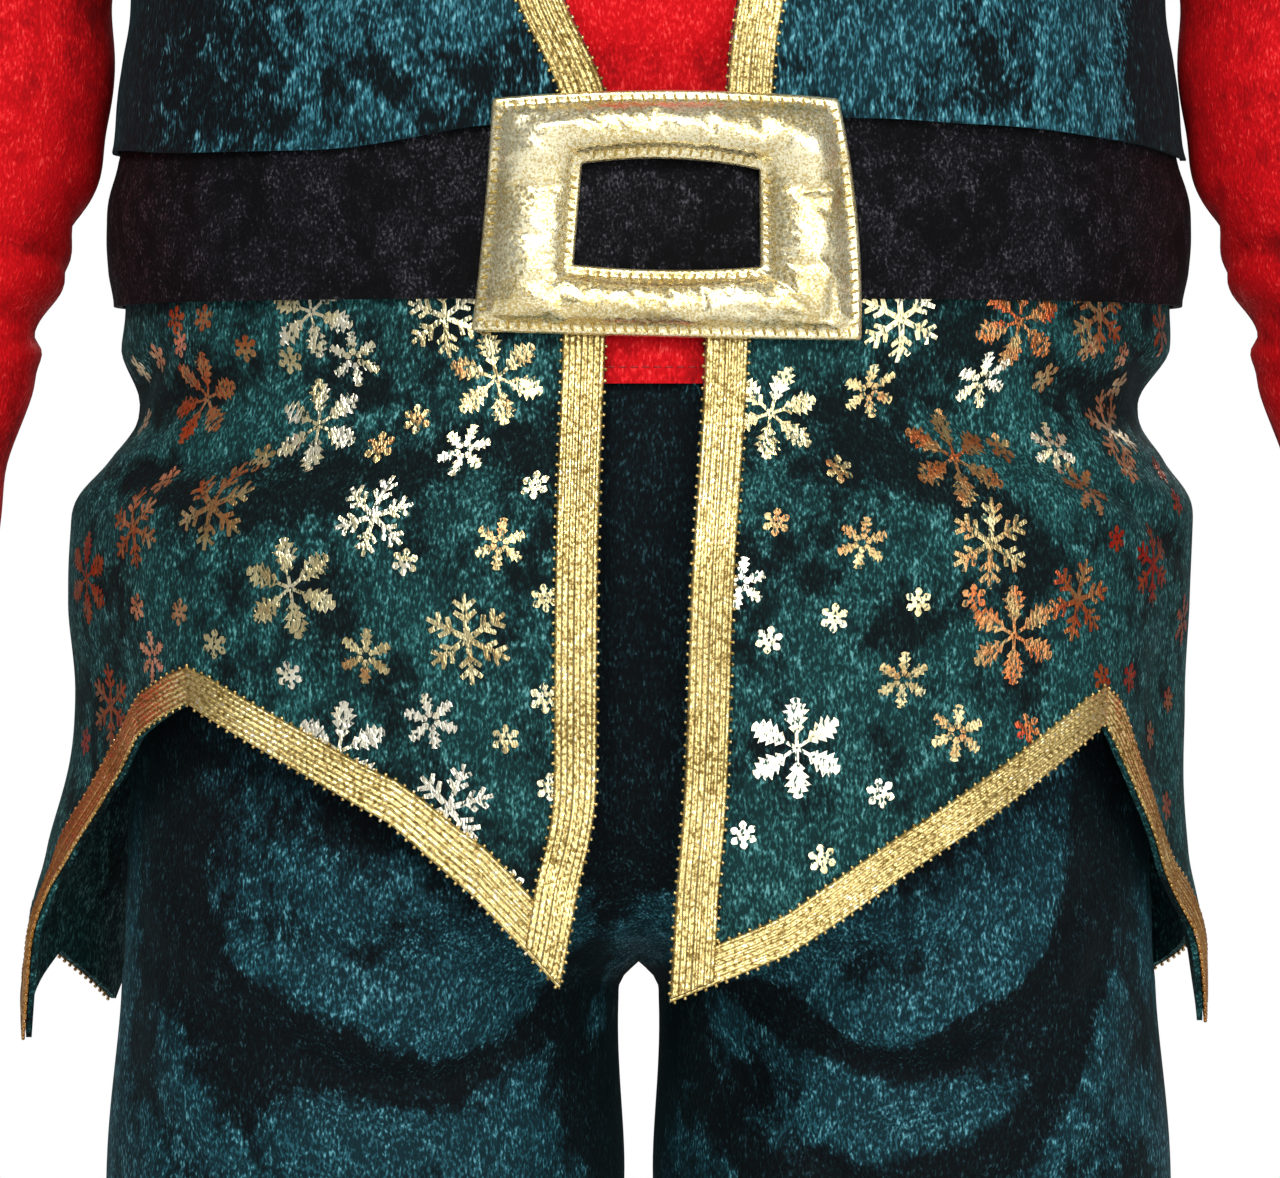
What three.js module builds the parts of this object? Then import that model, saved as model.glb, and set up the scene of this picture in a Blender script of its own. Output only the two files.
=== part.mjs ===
// A baby's elf costume, held in the pose in which it is worn and hollow: a velvet top with a red
// front insert, red sleeves, its own wide belt with a padded buckle and a pointed skirt edged with
// gold braid, over a pair of velvet trousers. Millimetres, +Z up, front towards -Y, and the origin
// between the shoulders. Left and right are as seen from the front.
import * as THREE from 'three'

// Driving dimensions
const CLOTH = 1.4               // wall of the velvet
const BRAID = 1.0               // wall of the gold braid
const SEAM = 0.3                // gap between pieces that are sewn together
const SQUARE = 2.3              // roundness of a body section, 2 is an ellipse
const LEG_SQUARE = 2.15         // roundness of a leg section
const SHOULDER_ROUND = 45       // height over which the chest rounds into the shoulder seam
const NECK_HALF = 45            // half width of the neck on the shoulder line
const SHOULDER_HALF = 98        // half width at the shoulder tip
const NECK_Z = -2               // height of the shoulder seam at the neck
const SHOULDER_Z = -24          // height of the shoulder seam at its tip
const UNDERARM_Z = -98          // bottom of the armhole
const BACK_NECK_DROP = 8        // how far the back neck dips
const BELT_TOP = -164
const BELT_BOTTOM = -207.5
const BELT_WALL = 2.0
const BELT_BEHIND = -186        // height above which the buckle lies on the bodice and its braid
const INSERT_TOP = -36          // neck edge of the insert at the centre
const INSERT_BOTTOM = -225      // hem of the insert, below the buckle
const INSERT_MARGIN = 7         // how far the insert runs behind each edge of the opening
const INSERT_WALL = 1.2
const INSERT_SCOOP = 16         // how much higher the neck edge of the insert stands at its sides
const INSERT_SCOOP_FROM = 0.8   // way up the insert at which that starts
const INSERT_LEAVES = -142      // height at which the insert leaves the bodice and runs behind the belt
const PEPLUM_TOP = -199
const SKIRT_HALF = 110          // half width of the skirt, for the slope of its hem
const NECK_BRAID_WIDTH = 9.3
const OPENING_BRAID_WIDTH = 8.7
const HEM_BRAID_WIDTH = 7.6
const TROUSER_TOP = -186
const TROUSER_HEM = -628
const TROUSER_CENTRE = -2       // the middle of the trousers stands this far to the left
const WAIST_Z = -226            // folds of the trousers start below this height
const ARMHOLE_GAP = 1.5         // room between the armhole and the first ring of the sleeve
const BRAID_TURN = 4.2          // turn that the opening's braid covers at the hem, in degrees
const BUCKLE_EDGE = 2.2         // thickness of the buckle at its folded edges
const BUCKLE_CROWN = 6.6        // thickness of the padding at the middle of a bar

// Body sections, downwards: lean to the side, half width, front depth and back depth
const BODICE = [
  // z, lean, side, front, back
  [0, 0, 99, 44, 42], [-24, 0, 100, 50, 50], [-60, 0, 106, 63, 60], [-98, 0, 110, 72, 67],
  [-125, 0, 109.6, 77, 70.5], [-142, 0, 109.8, 79.6, 72.4], [-156, 0, 111.6, 80.8, 73.6],
  [-165, 0, 112.8, 80.4, 74], [-172, 0, 113.3, 80.5, 74.4], [-178, 0, 114.7, 81.3, 75],
]
const BELT = [
  [-164, 0, 109.4, 77.2, 71], [-172, 0, 111.2, 78.4, 72], [-178, 0, 112.6, 79.2, 72.6],
  [-190, 0, 115, 80, 73.5], [-200, 0, 114.5, 80, 74], [-207.5, 0, 113.4, 79.6, 74],
  [-220, 0, 113.4, 79.6, 74],
]
const INSERT = [
  [0, 0, 97, 42, 40], [-24, 0, 98, 48, 48], [-60, 0, 104, 61, 58], [-98, 0, 108, 70, 66],
  [-125, 0, 110, 75, 70], [-142, 0, 110.6, 77.4, 72], [-152, 0, 110.6, 77, 72],
  [-160, 0, 107.5, 74.8, 70], [-166, 0, 107, 74.8, 70], [-178, 0, 110, 76.6, 70],
  [-190, 0, 111, 76.6, 70], [-197, 0, 111, 75.8, 70], [-207, 0, 110.4, 75.4, 70],
  [-216, 0, 110, 76, 70], [-226, 0, 107, 76.6, 70],
]
const PEPLUM = [
  [-199, 0, 111.8, 77.6, 71.6], [-207.5, -0.1, 110.8, 77.2, 71.4], [-216, -0.3, 111.2, 77.8, 73],
  [-228, -1.9, 106, 79.5, 76], [-240, -2.3, 111.7, 82.5, 80], [-253, -3.3, 119, 86.5, 85],
  [-270, -3.6, 118.8, 89, 88], [-291, -3.3, 117, 90, 90], [-323, -5.2, 120.5, 92, 93],
  [-345, -6.4, 124.5, 94, 96], [-364, -6.8, 124.5, 96, 98],
]
const TROUSERS = [
  // z, centre of the leg, half width, front depth, back depth
  [-186, 0, 106.5, 74.2, 68.6], [-200, 0, 106.5, 73.6, 68.4], [-207, 0, 106.3, 73.2, 68.4],
  [-216, 0, 105.5, 74, 70], [-228, 0, 101, 75, 72], [-250, 0, 104, 77, 78],
  [-285, 2, 105, 78, 84], [-310, 12, 96, 78, 84], [-326, 28, 80.5, 76, 82],
  [-338, 44, 65, 73, 79], [-346, 54, 55.2, 70, 76], [-353, 57, 52.8, 68, 74],
  [-392, 58, 55, 65, 68], [-450, 59, 54.5, 60, 62], [-540, 60, 50, 54, 55],
  [-600, 60.5, 45, 49, 50], [-628, 61, 43, 46, 47],
]

// Edges of the neck opening, downwards
const NECK_OPENING = [
  // z, left, right
  [-2, -45, 45], [-30, -44, 42.5], [-60, -39.5, 36.5], [-100, -31, 27.5], [-146, -17.2, 18.4],
  [-165, -8.9, 16.2], [-178, -5.5, 15.5],
]
// Edges of the skirt's front opening, downwards
const SKIRT_OPENING = [
  [-199, -8.6, 12], [-216, -8.9, 11.7], [-270, -10.4, 8.6], [-303, -10.6, 7.6],
  [-330, -14.5, 5.6], [-352, -18.6, 4.3],
]
// Lower edge of the bodice across the front
const BODICE_HEM = [
  // x, z
  [-113, -174.8], [-95, -176.5], [-72, -176.6], [-33, -171.8], [0, -170.4], [39, -170.3],
  [64, -171.1], [97, -173.6], [113, -176.4],
]
const HEM_AT_OPENING = 10       // how far from the middle the hem meets the opening
const HEM_AT_SIDE = 113         // and the side seam
const BODICE_BACK_HEM = -175
// Half width of the bodice at the armhole, downwards
const ARMHOLE = [[-24, 98], [-36, 95], [-60, 93.4], [-80, 98.5], [-92, 106], [-98, 110]]
// Pointed hem of the skirt, by the turn from the front centre in degrees
const HEM_LEFT = [
  // turn, z
  [6, -349.3], [16, -330.5], [26.3, -315.6], [51.3, -291], [62, -298], [71, -310], [81, -330],
  [90, -362.6],
]
const HEM_RIGHT = [
  [2, -352], [13.5, -342.3], [25.5, -327.3], [53.5, -295], [62.5, -311.8], [72, -327], [81, -339],
  [90, -359],
]
const HEM_BACK = [
  [-270, -359], [-256, -342], [-243, -352], [-212, -298], [-180, -350], [-148, -296], [-116, -356],
  [-103, -345], [-90, -362.6],
]

// Sleeve sections from the armhole to the wrist, on the right side
const SLEEVE = [
  // inner x, inner z, outer x, outer z, half depth, y of the middle
  [112.6, -104, 126, -38, 35, 0], [111.8, -117, 147, -60, 34.5, 0],
  [111.3, -133, 163, -93, 33.5, 0], [112, -151, 173, -127, 33, 0],
  [114.4, -171, 182, -158, 33, 0], [117.6, -187, 189, -183, 33.5, 0],
  [123, -203, 196, -208, 33, -1], [127, -217, 198, -226, 31.5, -2],
  [133, -238, 201, -250, 31, -5], [139, -266, 203, -277, 30, -9],
  [147, -296, 206, -305, 28, -14], [154, -322, 209, -331, 26, -18],
  [158, -338, 211, -347, 24.5, -21],
]
const SLEEVE_SPREAD = { left: 0.8, right: 0 }   // the left sleeve stands a little further out

// Creases round the sleeves
const SLEEVE_FOLDS = [
  // way along 0 to 1, way along at the far end, turn, half turn, depth, half width
  [0.16, 0.22, 20, 90, 1.6, 0.035], [0.3, 0.26, 180, 80, 1.8, 0.03], [0.4, 0.44, 0, 90, 1.8, 0.03],
  [0.5, 0.46, 190, 90, 2.4, 0.03], [0.56, 0.6, 170, 100, 3.4, 0.028], [0.63, 0.66, 10, 80, 2, 0.03],
  [0.72, 0.68, 180, 80, 1.8, 0.03], [0.84, 0.86, 90, 90, 1.4, 0.03],
]
// Waves of the skirt, which open towards the hem
const SKIRT_FOLDS = [
  // turn at the waist, turn at the hem, z where it starts, depth, half width in degrees
  [-20, -24, -240, -1.6, 9], [-44, -52, -215, 2.6, 10], [-66, -72, -225, -3, 8],
  [-78, -96, -230, 2.4, 7], [-112, -112, -220, -3.6, 9], [-132, -133, -215, 3.2, 9],
  [-152, -154, -220, -3, 9], [-172, -172, -220, 3, 9], [168, 167, -220, -3, 9],
  [149, 148, -215, 3.4, 9], [128, 127, -220, -3.4, 9], [108, 108, -225, 2.6, 8],
  [70, 76, -218, -3, 8], [50, 57, -215, 2.4, 9], [26, 30, -240, -1.8, 9],
]
// Slung folds across the front of each trouser leg, and the upright ones beside them
const LEG_FOLDS = [
  // z at the inseam, z at the side, sag at the middle, depth, half width
  [-318, -300, 34, -2.6, 7], [-352, -318, 36, -3.6, 7], [-388, -344, 40, -3.2, 8],
  [-428, -384, 26, -2.4, 9], [-474, -452, 16, -1.8, 9], [-566, -556, 8, -2, 8],
  [-600, -594, 8, -2.2, 7],
]
const LEG_BACK_FOLDS = [
  [-330, -306, 22, -3, 8], [-372, -340, 26, -3, 8], [-430, -410, 18, -2.2, 9],
  [-480, -474, 10, -1.6, 9], [-568, -560, 8, -2, 8], [-602, -596, 6, -2.2, 7],
]
const LEG_PLEATS = [
  // way across 0 to 1, top z, bottom z, depth, half width
  [0.86, -250, -420, -3.2, 0.05], [0.3, -225, -300, -1.8, 0.05],
]

// Corners of the buckle, clockwise from the upper left
const BUCKLE = [
  // outer x, outer z, inner x, inner z, bow of the outer side that follows, bow of the inner side
  [-32.1, -166.4, -13.6, -180, 1.6, 1.6], [39.2, -166.4, 22.8, -181.2, 1.6, 0],
  [43.9, -216.2, 23, -201, 0.3, 0.9], [-36.4, -214.3, -15.3, -200.6, -0.4, 0],
]

const velvet = { roughness: 0.7, metalness: 0 }
const GREEN = new THREE.MeshStandardMaterial({ color: 0x0d3b3a, ...velvet })
const BLUE = new THREE.MeshStandardMaterial({ color: 0x0c3440, ...velvet })
const RED = new THREE.MeshStandardMaterial({ color: 0xb50d12, ...velvet })
const BLACK = new THREE.MeshStandardMaterial({ color: 0x101014, ...velvet })
const GOLD = new THREE.MeshStandardMaterial({ color: 0xc9a94e, roughness: 0.45, metalness: 0.7 })
const LAME = new THREE.MeshStandardMaterial({ color: 0xe0cf96, roughness: 0.35, metalness: 0.8 })

const RAD = Math.PI / 180
const mix = (a, b, t) => a + (b - a) * t
const clamp = (t, low = 0, high = 1) => Math.min(high, Math.max(low, t))
const ease = t => clamp(t) ** 2 * (3 - 2 * clamp(t))
const bump = t => Math.exp(-t * t)
const steps = count => Array.from({ length: count + 1 }, (_, i) => i / count)

// A column of a table at a place, on a smooth curve that never overshoots its rows.
function read(table, place, column) {
  const down = table[0][0] > table[1][0] ? -1 : 1
  const key = i => down * table[i][0]
  const last = table.length - 1
  const at = clamp(down * place, key(0), key(last))
  let i = 0
  while (i < last - 1 && key(i + 1) < at) i += 1
  const slope = j => (table[j + 1][column] - table[j][column]) / (key(j + 1) - key(j))
  const tangent = j => {
    if (j === 0) return slope(0)
    if (j === last) return slope(last - 1)
    const before = slope(j - 1)
    const after = slope(j)
    return before * after <= 0 ? 0 : 2 * before * after / (before + after)
  }
  const width = key(i + 1) - key(i)
  const t = (at - key(i)) / width
  const start = table[i][column] + tangent(i) * width * t
  const end = table[i + 1][column] - tangent(i + 1) * width * (1 - t)
  return mix(start, end, ease(t))
}

// A column of a table whose corners stay sharp.
function readSharp(table, place, column = 1) {
  let i = 0
  while (i < table.length - 2 && table[i + 1][0] < place) i += 1
  const [from, to] = [table[i], table[i + 1]]
  return mix(from[column], to[column], clamp((place - from[0]) / (to[0] - from[0])))
}

// The rows of a table as places, with each stretch cut into pieces of about one size.
function placesOf(table, size) {
  const places = [table[0][0]]
  for (let i = 1; i < table.length; i += 1) {
    const count = Math.max(1, Math.round(Math.abs(table[i][0] - table[i - 1][0]) / size))
    for (let k = 1; k <= count; k += 1) places.push(mix(table[i - 1][0], table[i][0], k / count))
  }
  return places
}

// A closed wall between an outer and an inner face. point(u, v, depth) gives a point of either.
function wall(name, material, us, vs, point, thickness, around = false) {
  const positions = []
  const index = []
  for (const depth of [0, thickness]) {
    for (const v of vs) for (const u of us) positions.push(...point(u, v, depth))
  }
  const [nu, nv] = [us.length, vs.length]
  const vertex = (face, i, j) => face * nu * nv + j * nu + (i % nu)
  const quad = (a, b, c, d) => index.push(a, b, c, a, c, d)
  const across = around ? nu : nu - 1
  for (let j = 0; j < nv - 1; j += 1) {
    for (let i = 0; i < across; i += 1) {
      quad(vertex(0, i, j), vertex(0, i + 1, j), vertex(0, i + 1, j + 1), vertex(0, i, j + 1))
      quad(vertex(1, i, j), vertex(1, i, j + 1), vertex(1, i + 1, j + 1), vertex(1, i + 1, j))
    }
    if (!around) {
      quad(vertex(0, 0, j), vertex(0, 0, j + 1), vertex(1, 0, j + 1), vertex(1, 0, j))
      const end = nu - 1
      quad(vertex(0, end, j + 1), vertex(0, end, j), vertex(1, end, j), vertex(1, end, j + 1))
    }
  }
  for (let i = 0; i < across; i += 1) {
    const end = nv - 1
    quad(vertex(0, i + 1, 0), vertex(0, i, 0), vertex(1, i, 0), vertex(1, i + 1, 0))
    quad(vertex(0, i, end), vertex(0, i + 1, end), vertex(1, i + 1, end), vertex(1, i, end))
  }
  return solid(name, material, positions, index)
}

// A named mesh whose faces are turned outwards.
function solid(name, material, positions, index) {
  const corner = k => new THREE.Vector3().fromArray(positions, 3 * k)
  let volume = 0
  for (let i = 0; i < index.length; i += 3) {
    volume += corner(index[i]).dot(corner(index[i + 1]).cross(corner(index[i + 2])))
  }
  if (volume < 0) index.reverse()
  const geometry = new THREE.BufferGeometry()
  geometry.setAttribute('position', new THREE.Float32BufferAttribute(positions, 3))
  geometry.setIndex(index)
  geometry.computeVertexNormals()
  const mesh = new THREE.Mesh(geometry, material)
  mesh.name = name
  return mesh
}

// How deep a section is at a fraction of its half width, as a share of its full depth.
const roundness = (fraction, power = SQUARE) =>
  Math.max(0, 1 - Math.abs(fraction) ** power) ** (1 / power)

// Keeps a point of a front or back piece on its own side of the side seam.
const ownSide = (y, face) => face * Math.max(face * y, SEAM / 2)

// A point of a body section. x is on the section itself, face is -1 in front and 1 behind, and
// offset moves the point out or in.
function onBody(table, x, z, face, offset) {
  const centre = read(table, z, 1)
  const side = read(table, z, 2)
  const fraction = (x - centre) / side
  const depth = read(table, z, face < 0 ? 3 : 4) + offset
  return [centre + fraction * (side + offset), face * depth * roundness(fraction)]
}

// The top
const shoulderLine = x =>
  mix(NECK_Z, SHOULDER_Z, (Math.abs(x) - NECK_HALF) / (SHOULDER_HALF - NECK_HALF))
const backTop = x => Math.abs(x) > NECK_HALF
  ? shoulderLine(x)
  : NECK_Z - BACK_NECK_DROP * (1 - (x / NECK_HALF) ** 2)

// A point of the chest or back, which rounds over into the shoulder seam.
function onChest(table, x, z, face, offset) {
  const drop = clamp((shoulderLine(x) - z) / SHOULDER_ROUND)
  const lean = Math.sqrt(1 - (1 - drop) ** 2)
  const [across, y] = onBody(table, x, z, face, offset)
  return [across, ownSide(y * lean, face), z + offset * (1 - drop)]
}

// Half width of the bodice at a height: its side seam, or its armhole above the underarm.
const bodiceEdge = z => z > UNDERARM_Z ? read(ARMHOLE, z, 1) : read(BODICE, z, 2)

// Turns a way across from 0 to 1 into one that is finer towards the side.
const sideways = u => Math.sin(u * 90 * RAD)

// A front of the bodice. u is 0 at the neck opening, 1 at the far edge of its braid, 2 at the side.
function bodiceFront(side) {
  const column = side < 0 ? 1 : 2
  return (u, v, depth) => {
    const hem = x => read(BODICE_HEM, x, 1)
    const openingZ = mix(hem(side * HEM_AT_OPENING), NECK_Z, v)
    const openingX = read(NECK_OPENING, openingZ, column)
    const edgeX = side * bodiceEdge(mix(hem(side * HEM_AT_SIDE), SHOULDER_Z, v))
    const braidX = openingX + side * NECK_BRAID_WIDTH
    const x = u < 1 ? mix(openingX, braidX, u) : mix(braidX, edgeX, sideways(u - 1))
    const top = mix(NECK_Z, SHOULDER_Z, (x - openingX) / (edgeX - openingX))
    return onChest(BODICE, x, mix(hem(x), top, v), -1, -depth)
  }
}

function bodiceBack(u, v, depth) {
  const edgeX = bodiceEdge(mix(BODICE_BACK_HEM, SHOULDER_Z, v))
  const x = Math.sign(u) * sideways(Math.abs(u)) * edgeX
  return onChest(BODICE, x, mix(BODICE_BACK_HEM, backTop(x), v), 1, -depth)
}

// The red insert lies behind the bodice, and further down behind the belt and the skirt.
function insert(u, v, depth) {
  const low = mix(INSERT_BOTTOM, INSERT_TOP, v)
  const scoop = ease((v - INSERT_SCOOP_FROM) / (1 - INSERT_SCOOP_FROM)) * INSERT_SCOOP
  const z = low + scoop * (2 * u - 1) ** 2
  const left = Math.min(read(NECK_OPENING, low, 1), read(SKIRT_OPENING, low, 1)) - INSERT_MARGIN
  const right = Math.max(read(NECK_OPENING, low, 2), read(SKIRT_OPENING, low, 2)) + INSERT_MARGIN
  const x = mix(left, right, u)
  const high = onChest(BODICE, x, z, -1, -CLOTH - 3 * SEAM - depth)
  const deep = onChest(INSERT, x, z, -1, -depth)
  const t = ease((INSERT_LEAVES - z) / 12)
  return high.map((value, i) => mix(value, deep[i], t))
}

// Gold braid along one edge of the neck, from the buckle to the shoulder.
const neckBraid = side => (u, v, depth) => bodiceFront(side)(u, v, depth - SEAM - BRAID)

function backNeckBraid(u, v, depth) {
  const half = NECK_HALF + NECK_BRAID_WIDTH * v
  const x = half * (2 * u - 1)
  const below = Math.abs(x) < NECK_HALF ? NECK_BRAID_WIDTH * v * (1 - (x / half) ** 8) : 0
  const z = backTop(x) - below
  return onChest(BODICE, x, z, 1, 2 * SEAM + BRAID - depth)
}

// A sleeve, whose first ring follows the armhole
function sleeve(side, spread) {
  const front = bodiceFront(side)
  const back = (u, v, depth) => bodiceBack(side * u, v, depth)
  const low = (UNDERARM_Z - BODICE_BACK_HEM) / (SHOULDER_Z - BODICE_BACK_HEM)
  const armhole = (turn, depth) => {
    const upright = (1 + Math.cos(turn * RAD)) / 2
    const row = mix(low, 1, upright)
    const point = turn < 180 ? front(2, row, depth) : back(1, row, depth)
    const under = (1 - upright) ** 4
    const away = ARMHOLE_GAP * (1 - under * 0.6)
    return [point[0] + side * away, point[1], point[2] + ARMHOLE_GAP * under * 1.6]
  }
  return (turn, v, depth) => {
    const row = v * SLEEVE.length - 1
    const sections = SLEEVE.map((values, i) => [i, ...values])
    const value = column => read(sections, Math.max(0, row), column)
    let crease = 0
    for (const [near, far, where, reach, deep, width] of SLEEVE_FOLDS) {
      const apart = ((turn - where + 540) % 360) - 180
      const centre = mix(near, far, (apart / reach + 1) / 2)
      crease += deep * bump((v - centre) / width) * bump(apart / reach * 1.3)
    }
    const fade = ease(v / 0.15)
    const inset = depth + crease * fade
    const [cx, cz] = [(value(1) + value(3)) / 2, (value(2) + value(4)) / 2]
    const half = Math.hypot(value(3) - value(1), value(4) - value(2)) / 2
    const ax = (value(3) - value(1)) / 2 / half
    const az = (value(4) - value(2)) / 2 / half
    const reach = (half - inset) * Math.cos(turn * RAD)
    const x = side * (cx + ax * reach + spread)
    const y = value(6) - (value(5) - inset) * Math.sin(turn * RAD)
    const z = cz + az * reach
    if (row >= 0) return [x, y, z]
    const start = armhole(turn, depth)
    const t = v * SLEEVE.length
    return [mix(start[0], x, t), mix(start[1], y, t), mix(start[2], z, t)]
  }
}
// Ways along a sleeve: one for each section at the top, then closer together at the creases
const sleeveTop = [0, 1, 2, 3, 4, 5].map(i => i / SLEEVE.length)
const sleeveRows = [
  ...sleeveTop, 0.43, 0.48, 0.52, 0.555, 0.59, 0.63, 0.68, 0.73, 0.79, 0.86, 0.93, 1,
]

// The skirt
const turnOf = (x, z) => Math.asin(clamp((x - read(PEPLUM, z, 1)) / read(PEPLUM, z, 2), -1, 1)) / RAD

function skirtWave(turn, z) {
  let out = 0
  for (const [above, below, start, deep, width] of SKIRT_FOLDS) {
    const down = clamp((start - z) / 120)
    const apart = ((turn - mix(above, below, down) + 540) % 360) - 180
    out += deep * ease(down * 1.2) * bump(apart / width)
  }
  return out
}

// A point of the skirt by its turn from the front centre, its height and its offset.
function onSkirt(turn, z, offset) {
  const out = offset + skirtWave(turn, z)
  const face = Math.abs(turn) <= 90 ? -1 : 1
  const fraction = Math.sin(turn * RAD)
  const x = read(PEPLUM, z, 1) + fraction * (read(PEPLUM, z, 2) + out)
  const y = face * (read(PEPLUM, z, face < 0 ? 3 : 4) + out) * roundness(fraction)
  return [x, ownSide(y, face), z]
}

// The turn of a front panel's column at a height. The first two columns are the edges of the
// opening's braid, and the rest spread from there to the side seam.
function frontTurn(side, table, place, z) {
  const opening = read(SKIRT_OPENING, z, side < 0 ? 1 : 2)
  const edge = turnOf(opening, z)
  const braid = turnOf(opening + side * OPENING_BRAID_WIDTH, z)
  const first = table[0][0]
  const second = first + BRAID_TURN
  if (place < second) return mix(edge, braid, (place - first) / BRAID_TURN)
  return mix(braid, side * 90, (place - second) / (90 - second))
}

// How tall the hem braid stands where the hem slopes, which is measured over a few degrees.
function braidHeight(table, place) {
  const reach = 3
  const steepest = 1.1
  const before = readSharp(table, Math.max(table[0][0], place - reach))
  const after = readSharp(table, Math.min(table[table.length - 1][0], place + reach))
  const rise = Math.abs(after - before) / (2 * reach * RAD * SKIRT_HALF)
  return HEM_BRAID_WIDTH * Math.hypot(1, Math.min(rise, steepest))
}

// The height of a row: from 0 to 1 up the hem braid, and from 1 to 2 on to the belt.
function skirtHeight(table, place, row) {
  const low = readSharp(table, place)
  const braid = low + braidHeight(table, place)
  return row < 1 ? mix(low, braid, row) : mix(braid, PEPLUM_TOP, row - 1)
}

function skirtFront(side, table, out = 0) {
  return (place, row, depth) => {
    const z = skirtHeight(table, place, row)
    return onSkirt(frontTurn(side, table, place, z), z, out - depth)
  }
}

const skirtBack = (out = 0) => (turn, row, depth) =>
  onSkirt(turn, skirtHeight(HEM_BACK, turn, row), out - depth)

// The opening's braid runs from just above the hem braid to just below the belt.
function openingBraid(side, table) {
  const panel = skirtFront(side, table, SEAM + BRAID)
  const belowBelt = 0.5
  return (place, row, depth) => {
    const hemBraid = skirtHeight(table, place, 1)
    const long = PEPLUM_TOP - hemBraid
    const low = 1 + SEAM / long
    const top = 1 + (BELT_BOTTOM - belowBelt - hemBraid) / long
    return panel(place, clamp(row, low, top), depth)
  }
}

// The padded buckle: a profile across its bars, carried round between its outer and inner outlines.
const BUCKLE_STEPS = [10, 7, 10, 7]   // along the upper, right, lower and left bars
const BUCKLE_PROFILE = [
  // way across, share of the crown
  [0, 0], [0, 0.36], [0.16, 0.78], [0.5, 1], [0.84, 0.78], [1, 0.36], [1, 0],
]

// A place on a bowed side from one corner of the buckle to the next.
function onSide(from, to, column, bow, t) {
  const across = [to[column] - from[column], to[column + 1] - from[column + 1]]
  const out = 4 * bow * t * (1 - t) / Math.hypot(...across)
  return {
    x: mix(from[column], to[column], t) - across[1] * out,
    z: mix(from[column + 1], to[column + 1], t) + across[0] * out,
  }
}

// What lies behind the buckle: the belt, and higher up the bodice with its braid.
function behindBuckle(x, z) {
  const belt = onBody(BELT, x, z, -1, 0.5)[1]
  const bodice = onBody(BODICE, x, z, -1, BRAID + 3 * SEAM)[1]
  return mix(belt, bodice, ease((z - BELT_BEHIND) / 12))
}

function buckle() {
  const positions = []
  const rings = BUCKLE_STEPS.reduce((sum, count) => sum + count)
  BUCKLE.forEach((from, corner) => {
    const to = BUCKLE[(corner + 1) % BUCKLE.length]
    for (const t of steps(BUCKLE_STEPS[corner]).slice(0, -1)) {
      const outer = onSide(from, to, 0, from[4], t)
      const inner = onSide(from, to, 2, from[5], t)
      for (const [across, share] of BUCKLE_PROFILE) {
        const x = mix(outer.x, inner.x, across)
        const z = mix(outer.z, inner.z, across)
        const height = share > 0 ? Math.max(BUCKLE_CROWN * share, BUCKLE_EDGE) : 0
        positions.push(x, behindBuckle(x, z) - height, z)
      }
    }
  })
  const index = []
  const count = BUCKLE_PROFILE.length
  for (let ring = 0; ring < rings; ring += 1) {
    const next = ((ring + 1) % rings) * count
    for (let k = 0; k < count; k += 1) {
      const [a, b] = [ring * count + k, ring * count + (k + 1) % count]
      const [c, d] = [next + (k + 1) % count, next + k]
      index.push(a, b, c, a, c, d)
    }
  }
  return solid('buckle', LAME, positions, index)
}

const SIDE_SHARE = 0.8          // share of a wall's thickness that it keeps at the side seam

// The trousers. way runs from 0 at the centre seam or inseam to 1 at the side seam.
function trouserPanel(side, face) {
  const folds = face < 0 ? LEG_FOLDS : LEG_BACK_FOLDS
  const gap = SEAM / 2
  return (way, v, depth) => {
    const z = mix(TROUSER_HEM, TROUSER_TOP, v)
    const value = column => read(TROUSERS, z, column)
    let wave = 0
    const hang = Math.sin(Math.PI * clamp(way))
    for (const [inner, outer, sag, deep, width] of folds) {
      const line = mix(inner, outer, way) - sag * hang
      wave += deep * bump((z - line) / width) * hang ** 0.7
    }
    for (const [where, top, bottom, deep, width] of LEG_PLEATS) {
      wave += deep * bump((way - where) / width) * ease((top - z) / 30) * ease((z - bottom) / 50)
    }
    wave *= ease((WAIST_Z - z) / 20)
    const out = wave - depth
    const half = value(2) + Math.min(out, -depth * SIDE_SHARE)
    const start = Math.asin(clamp((gap - value(1)) / half, -1, 1))
    const angle = mix(start, Math.PI / 2, way)
    const fraction = Math.sin(angle)
    const x = TROUSER_CENTRE + side * Math.max(gap, value(1) + half * fraction)
    const y = face * (value(face < 0 ? 3 : 4) + out) * roundness(fraction, LEG_SQUARE)
    return [x, ownSide(y, face), z]
  }
}
// Heights of the trousers' rows, closer together at the folds and the crotch
const LEG_HEIGHTS = [
  -628, -612, -602, -592, -570, -545, -515, -485, -465, -445, -430, -415, -402, -390, -378, -366,
  -354, -346, -338, -328, -316, -304, -290, -270, -250, -236, -226, -216, -200, -186,
]
const legRows = LEG_HEIGHTS.map(z => (z - TROUSER_HEM) / (TROUSER_TOP - TROUSER_HEM))

// A place round the belt by its turn from the front centre.
function belt(turn, z, depth) {
  const face = Math.abs(turn) <= 90 ? -1 : 1
  const [x, y] = onBody(BELT, Math.sin(turn * RAD) * read(BELT, z, 2), z, face, -depth)
  return [x, y, z]
}

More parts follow.
